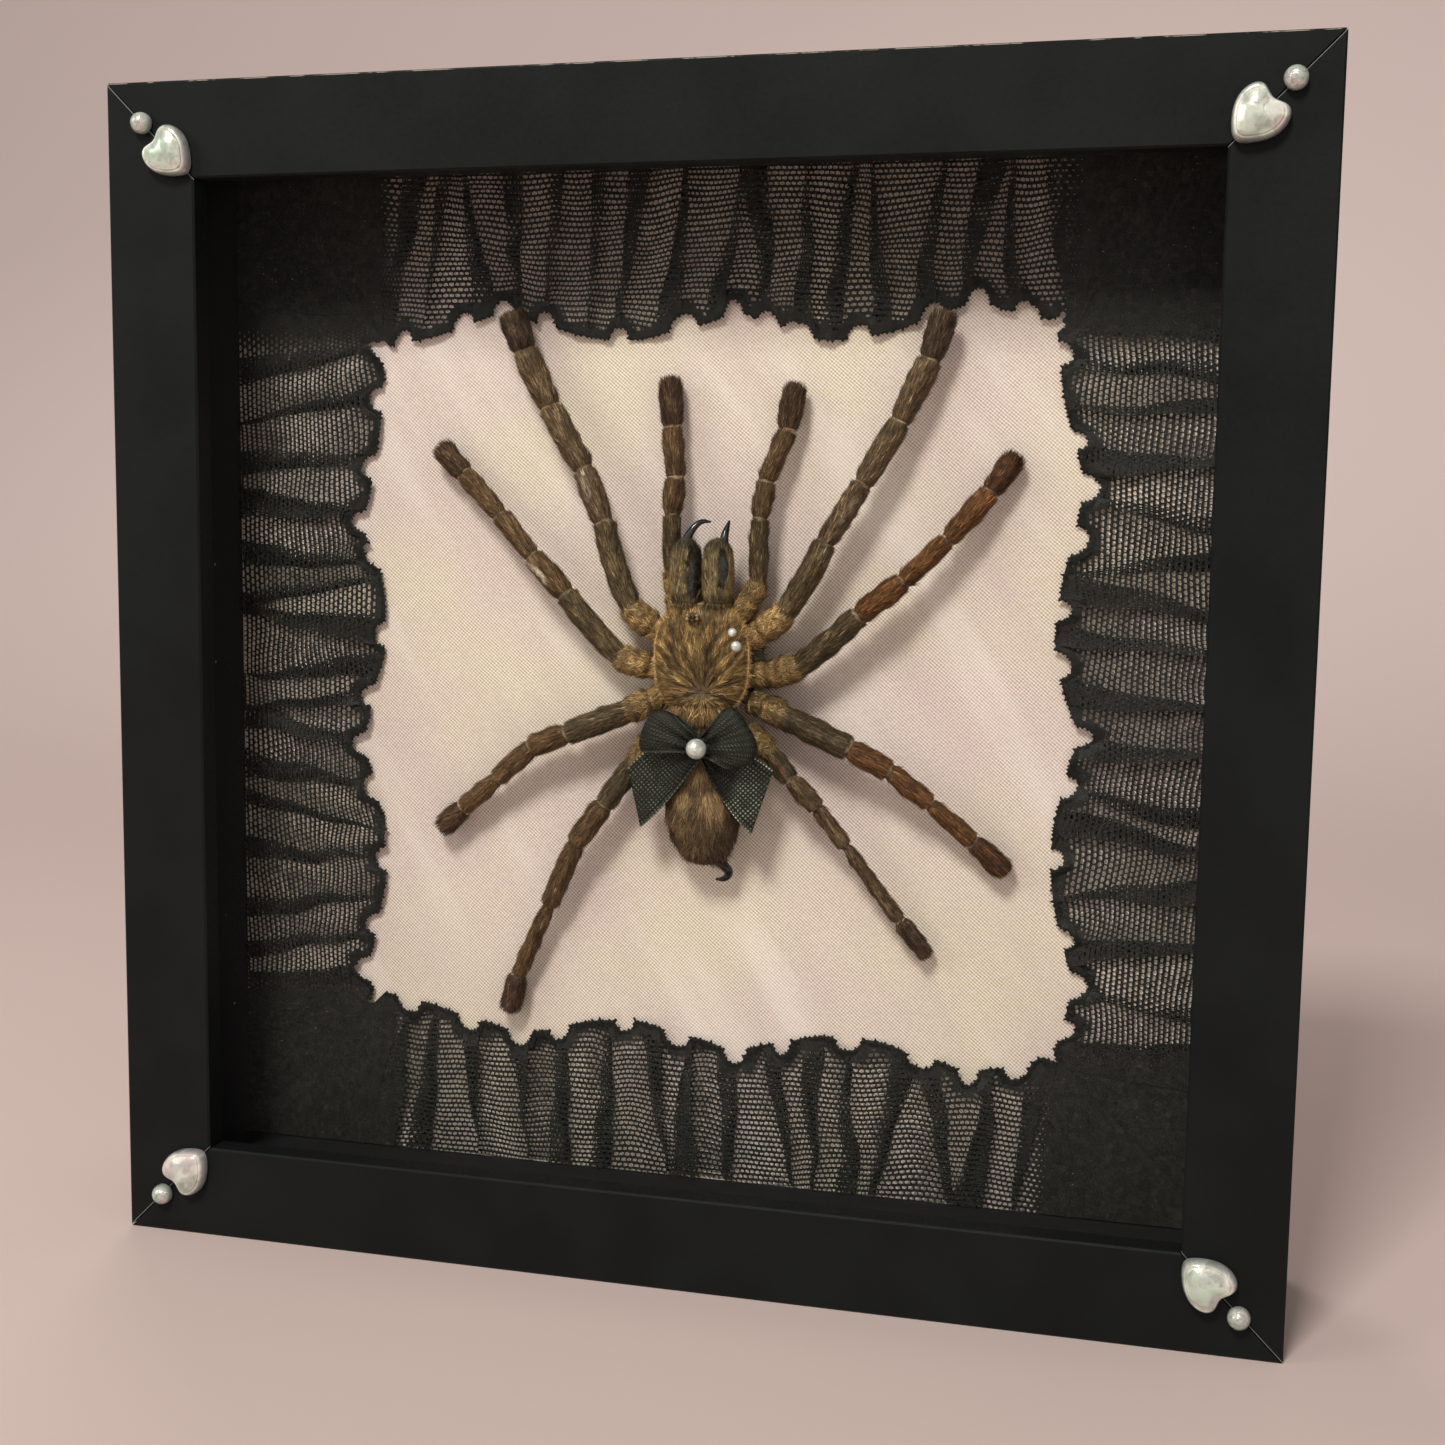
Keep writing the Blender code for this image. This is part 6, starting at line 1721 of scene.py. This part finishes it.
def add_loop(shape, cloth, side, rim_points):
    """A loop of ribbon, gathered at the knot and open at its far rim."""
    along, across = share_grid(*LOOP_GRID)
    near = knot_end(rim_points[0], rim_points[-1], across)
    far = spline_rows(rim_points, across.shape[1])
    reach = np.sin(math.pi * along)
    spot = near + (far - near) * reach[..., None]
    opened = (LOOP_PINCH + reach) / (LOOP_PINCH + 1)
    lift = -LOOP_HALF_HEIGHT * np.cos(math.pi * along) * opened
    upper = smoothstep(0.45, 0.6, along)
    folded = across * LOOP_FOLDS * math.pi + (0.6 if side == "left" else 1.4) + reach * 1.2
    gathers = np.sin(folded) * 0.45 * np.exp(-((reach / 0.55) ** 2))
    drape = 0.9 * np.sin(across * math.pi * 2.4 + reach * 2.0) * reach * (1 - reach)
    swell = 1.5 * np.sin(math.pi * across) ** 0.8 * reach * (1 - reach * 0.7) * 2
    rim = 0.25 * np.maximum(smoothstep(0.05, 0.0, across), smoothstep(0.95, 1.0, across))
    height = KNOT[2] + lift + (gathers + drape + swell + rim) * upper
    # Painted shade: darker in the creases and towards the knot, and at the far fold; lighter in the middle of
    # the loop
    painted_crease = 0.5 + 0.5 * np.sin(folded * 1.5)
    crease_shade = 1 - 0.5 * painted_crease * np.exp(-((reach / 0.6) ** 2))
    tone = (0.55 + 0.45 * smoothstep(0.1, 0.6, reach)) * crease_shade
    tone = tone * (1 - 0.35 * smoothstep(0.86, 1.0, reach))
    spots = np.concatenate((spot, height[..., None]), axis=-1)
    add_ribbon(shape, cloth, spots, LOOP_CLOTH_LENGTH, RIBBON_WIDTH, tone)


def add_tail(shape, cloth, side, first, second):
    """A tail of ribbon that spreads from the knot to its two far corners."""
    along, across = share_grid(*TAIL_GRID)
    far_middle = (np.array(first) + np.array(second)) / 2
    far_edge = np.array(second) - np.array(first)
    spread = (across - 0.5) * np.sin(math.pi / 2 * (TAIL_PINCH + (1 - TAIL_PINCH) * along))
    knot = np.array(KNOT[:2])
    middle = knot + (far_middle - knot) * along[..., None]
    spot = middle + far_edge * spread[..., None]
    spot[..., 1] += TAIL_BULGE[side] * np.sin(math.pi * along) * (1 - across)
    gathers = np.sin(across * math.pi * 6) * 0.35 * np.exp(-((along / 0.4) ** 2))
    curl = 0.6 * np.cos(math.pi * across) * along * (1 if side == "left" else -1)
    curl = curl + 0.7 * np.sin(math.pi * along * 1.3) - 0.8 * np.sin(math.pi * along) ** 2
    rim = 0.2 * np.maximum(smoothstep(0.05, 0.0, across), smoothstep(0.95, 1.0, across))
    height = KNOT[2] - TAIL_START - TAIL_DROP * along**2 + gathers + curl + rim
    # Painted light and shade: each tail lighter by its painted sheen, darker towards the knot and in the
    # creases there, and darker under the painted shadow of the right loop
    painted_crease = 0.5 + 0.5 * np.sin(across * math.pi * 9)
    tone = TAIL_PAINTED_SHEEN[side] * (0.45 + 0.55 * smoothstep(0.15, 0.7, along))
    tone = tone * (1 - LOOP_PAINTED_SHADOW[side] * smoothstep(0.62, 0.5, along))
    tone = tone * (1 - 0.5 * painted_crease * np.exp(-((along / 0.45) ** 2)))
    spots = np.concatenate((spot, height[..., None]), axis=-1)
    add_ribbon(shape, cloth, spots, TAIL_CLOTH_LENGTH, RIBBON_WIDTH, tone, TAIL_CLOTH[side])


def add_knot(shape, cloth):
    """The creased knot, with the ribbon wound round it."""
    rows, sides = KNOT_GRID
    polar = (np.arange(rows) + 1) / (rows + 1) * math.pi
    angles = full_turn(sides)
    creases = 1 + 0.05 * np.sin(angles * 2)[None, :] + 0.035 * np.sin(polar * 9)[:, None]
    ring = np.sin(polar)[:, None] * creases
    spots = stacked(ring * np.cos(angles), -np.cos(polar)[:, None], ring * np.sin(angles))
    half = np.array(KNOT_HALF) * KNOT_SHARE
    middle = np.array(KNOT)
    before = shape.count
    above = np.array((0, half[1], 0))
    add_loft(shape, middle + spots * half, middle - above, middle + above, np.array(RIBBON_TINT))
    knot_count = shape.count - before
    wrap = np.zeros((knot_count, 2))
    along, over = KNOT_CLOTH
    wound = np.meshgrid(np.linspace(0, along, rows), np.linspace(0, over, sides), indexing="ij")
    wrap[: rows * sides] = np.stack(wound, -1).reshape(-1, 2)
    cloth.append(wrap)


def make_bow():
    """The bow: two loops and two tails of one ribbon, fanned out of a tight knot."""
    shape = Shape()
    cloth = []
    for side, rim_points in LOOP_RIMS.items():
        add_loop(shape, cloth, side, rim_points)
    for side, corners in TAILS.items():
        add_tail(shape, cloth, side, *corners)
    add_knot(shape, cloth)
    obj = shape.build("satin_ribbon_bow", [MATERIALS["ribbon"]], cloth=np.concatenate(cloth))
    thickness = obj.modifiers.new("thickness", "SOLIDIFY")
    thickness.thickness = RIBBON_THICKNESS * 0.5 * MM
    thickness.offset = 0.0
    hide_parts("ribbon_bow")


def make_pearl(name, right, up, base, diameter):
    """A round pearl with a small flat where it is glued down."""
    radius = diameter / 2
    rows, sides = PEARL_GRID
    polar = np.linspace(PEARL_FLAT, math.pi / 2, rows + 1)[:-1]
    angles = full_turn(sides)
    ring = radius * np.cos(polar)[:, None]
    height = base + radius * (np.sin(polar) - math.sin(PEARL_FLAT))
    spots = stacked(right + ring * np.cos(angles), up + ring * np.sin(angles), height[:, None])
    top = base + radius * (1 - math.sin(PEARL_FLAT))
    shape = Shape()
    add_loft(shape, spots, (right, up, base), (right, up, top), np.array(PEARL_TINT))
    dress(shape, f"pearl_on_{name}", name, ["pearl"])


def heart_outline(angle):
    turned = math.pi / 2 - angle
    sine, cosine = np.sin(turned), np.cos(turned)
    curve = 13 * cosine - 5 * np.cos(2 * turned) - 2 * np.cos(3 * turned) - np.cos(4 * turned)
    oval = 13 * cosine - 2.5
    across = HEART_SIDES * sine**3 + (1 - HEART_SIDES) * sine
    up = HEART_SHARPNESS * curve + (1 - HEART_SHARPNESS) * oval
    return across / 2 * HEART_WIDTH, (up - HEART_CURVE_MIDDLE) / HEART_CURVE_LENGTH * HEART_LENGTH


def dome_painted_shading(share, shading_bands):
    """Painted highlight and shade for each ring of a dome, from its share of the outline."""
    shading_bands = np.array(shading_bands)
    return np.stack([np.interp(share, shading_bands[:, 0], shading_bands[:, 1 + part]) for part in range(3)], axis=-1)


def make_dome(piece, node_name, middle, turn, rises, outline, look, shading_bands):
    """A flat-backed dome on the face: rises is (share of the outline, rise), from edge to top. Its tints are
    painted highlight and shade, ring by ring.
    """
    rows, sides = DOME_GRID
    table = spline_rows(rises, rows)[:-1]
    angles = full_turn(sides)
    across, up = outline(angles)
    share = np.clip(table[:, 0], 0, 1)[:, None]
    flat_right, flat_up = across * share, up * share
    right = middle[0] + flat_right * math.cos(turn) + flat_up * math.sin(turn)
    above = middle[1] - flat_right * math.sin(turn) + flat_up * math.cos(turn)
    face = SATIN_Y - FACE_Y
    height = face + TRIM_GAP + table[:, 1:] + 0 * angles
    shape = Shape()
    rings = stacked(right, above, height)
    back = (*middle, face + TRIM_GAP)
    top = (*middle, face + TRIM_GAP + rises[-1][1])
    add_loft(shape, rings, back, top, dome_painted_shading(share, shading_bands))
    dress(shape, piece, node_name, [look])


def make_face_trim():
    """A pearl and a heart on each mitre, the heart's point towards the opening."""
    pearl_rises = [(1.0, 0.0)]
    for step in range(13):
        angle = step / 12 * math.pi / 2
        dome = (CORNER_PEARL_RISE - CORNER_PEARL_EDGE) * math.sin(angle)
        pearl_rises.append((math.cos(angle), CORNER_PEARL_EDGE + dome))

    def pearl_outline(angle):
        radius = CORNER_PEARL_DIAMETER / 2
        return radius * np.cos(angle), radius * np.sin(angle)

    for name, right, up in (
        ("top_left", -1, 1), ("top_right", 1, 1), ("bottom_right", 1, -1), ("bottom_left", -1, -1),
    ):
        make_dome(
            f"nacre_pearl_{name}", f"corner_pearl_{name}",
            (right * CORNER_PEARL_AT, up * CORNER_PEARL_AT), 0.0, pearl_rises, pearl_outline,
            "pearl", PEARL_PAINTED_SHADING,
        )
        make_dome(
            f"nacre_heart_{name}", f"corner_heart_{name}",
            (right * HEART_AT, up * HEART_AT), math.atan2(right, up) + HEART_TURN, HEART_RISES, heart_outline,
            "heart", HEART_PAINTED_SHADING,
        )


# Satin, and the finish of the CAD nodes that keep their shape


def make_satin(seed):
    """The satin, stretched over the back with faint puckers."""
    steps = SATIN_STEPS
    spots = np.linspace(-SATIN_HALF, SATIN_HALF, steps + 1)
    right, up = np.meshgrid(spots, spots)
    flat = stacked(right, up)
    slanted = stacked(right + 0.6 * up, 0.35 * (up - 0.6 * right))
    height = 0.30 * wobble(slanted, 40.0, seed) + 0.03 * wobble(flat, 15.0, seed + 1)
    edge = smoothstep(SATIN_HALF, SATIN_HALF - 8, np.maximum(np.abs(right), np.abs(up)))
    shape = Shape()
    points = stacked(right, up, height * edge - SATIN_SINK)
    shape.add(points, grid_faces(steps + 1, steps + 1), (0.72, 0.57, 0.5))
    obj = dress(shape, "satin_sheet", "satin_backing", ["satin"])


def finish_nodes():
    """Better materials for the CAD nodes whose own shape is shown."""
    looks = {"frame_": "frame", "spacer_": "spacer", "tab_": "steel", "hang": "brass", "front_glass": "glass"}
    looks["back_board"] = "board"
    for name, obj in frame["nodes"].items():
        for start, look in looks.items():
            if name.startswith(start):
                for slot in obj.material_slots:
                    slot.material = MATERIALS[look]


# Camera, light and floor


def make_camera():
    data = bpy.data.cameras.new("camera")
    data.lens = CAMERA_LENS
    data.sensor_width = CAMERA_SENSOR
    camera = bpy.data.objects.new("camera", data)
    axes = (Vector(CAMERA_RIGHT), Vector(CAMERA_UP), -Vector(CAMERA_FORWARD))
    turn = Matrix(axes).transposed().to_4x4()
    camera.matrix_world = Matrix.Translation(CAMERA_PLACE) @ turn
    bpy.context.scene.collection.objects.link(camera)
    bpy.context.scene.camera = camera


def add_light(name, place, size, power, colour):
    data = bpy.data.lights.new(name, "AREA")
    data.shape = "RECTANGLE"
    data.size, data.size_y = size
    data.energy = power
    data.color = colour
    light = bpy.data.objects.new(name, data)
    light.location = place
    aim = Vector(LIGHT_TARGET) - Vector(place)
    light.rotation_euler = aim.to_track_quat("-Z", "Y").to_euler()
    bpy.context.scene.collection.objects.link(light)


def make_stage():
    """Plain soft studio light, mostly from above, and a pale floor that curves up behind."""
    for light in LIGHTS:
        add_light(*light)
    world_light = bpy.data.worlds.new("studio")
    world_light.use_nodes = True
    background = world_light.node_tree.nodes["Background"]
    background.inputs["Color"].default_value = (*WORLD_COLOUR, 1.0)
    background.inputs["Strength"].default_value = WORLD_STRENGTH
    bpy.context.scene.world = world_light
    bpy.context.scene.view_settings.view_transform = "Standard"
    profile = [(-STAGE_FRONT, 0.0)]
    for turn in np.linspace(0, math.pi / 2, 25):
        profile.append((STAGE_BACK + STAGE_CURVE * math.sin(turn), STAGE_CURVE * (1 - math.cos(turn))))
    profile.append((STAGE_BACK + STAGE_CURVE, STAGE_HEIGHT))
    points = [(side * STAGE_HALF, back, up) for back, up in profile for side in (-1, 1)]
    mesh = bpy.data.meshes.new("floor")
    mesh.from_pydata(points, [], grid_faces(len(profile), 2)[:, ::-1].tolist())
    mesh.shade_smooth()
    mesh.materials.append(floor_material())
    floor = bpy.data.objects.new("floor", mesh)
    bpy.context.scene.collection.objects.link(floor)


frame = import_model()
MATERIALS = {
    "frame": frame_material(),
    "glass": glass_material(),
    "spacer": spacer_material(),
    "board": board_material(),
    "steel": metal_material("tab_steel", (0.52, 0.52, 0.50), (0.36, 0.36, 0.35)),
    "brass": metal_material("brass_plated", (0.62, 0.48, 0.22), (0.42, 0.31, 0.14)),
    "pearl": nacre_material("nacre_pearl", 420, 0.35, 1.0),
    "heart": nacre_material("nacre_heart", 170, 0.15, 1.0),
    "thread": thread_material(),
    "skin": skin_material(),
    "hair": hair_material(),
    "horn": horn_material(),
    "satin": satin_material(),
    "ribbon": ribbon_material(),
}
make_camera()
make_stage()
# The last number of a call seeds its random draws
finish_nodes()
make_satin(51)
make_all_lace()
make_carapace(31)
make_abdomen(41)
make_chelicera("left", 61)
make_chelicera("right", 62)
for number, limb_name in enumerate(LIMBS):
    make_limb(limb_name, 70 + number * 3)
make_bow()
make_pearl("bow_pearl", KNOT[0], KNOT[1], KNOT[2] + KNOT_HALF[2] + TRIM_GAP, BOW_PEARL_DIAMETER)
for pearl_name, (pearl_right, pearl_up, pearl_size) in HEAD_PEARLS.items():
    make_pearl(pearl_name, pearl_right, pearl_up, HEAD_PEARL_BASE, pearl_size)
make_face_trim()
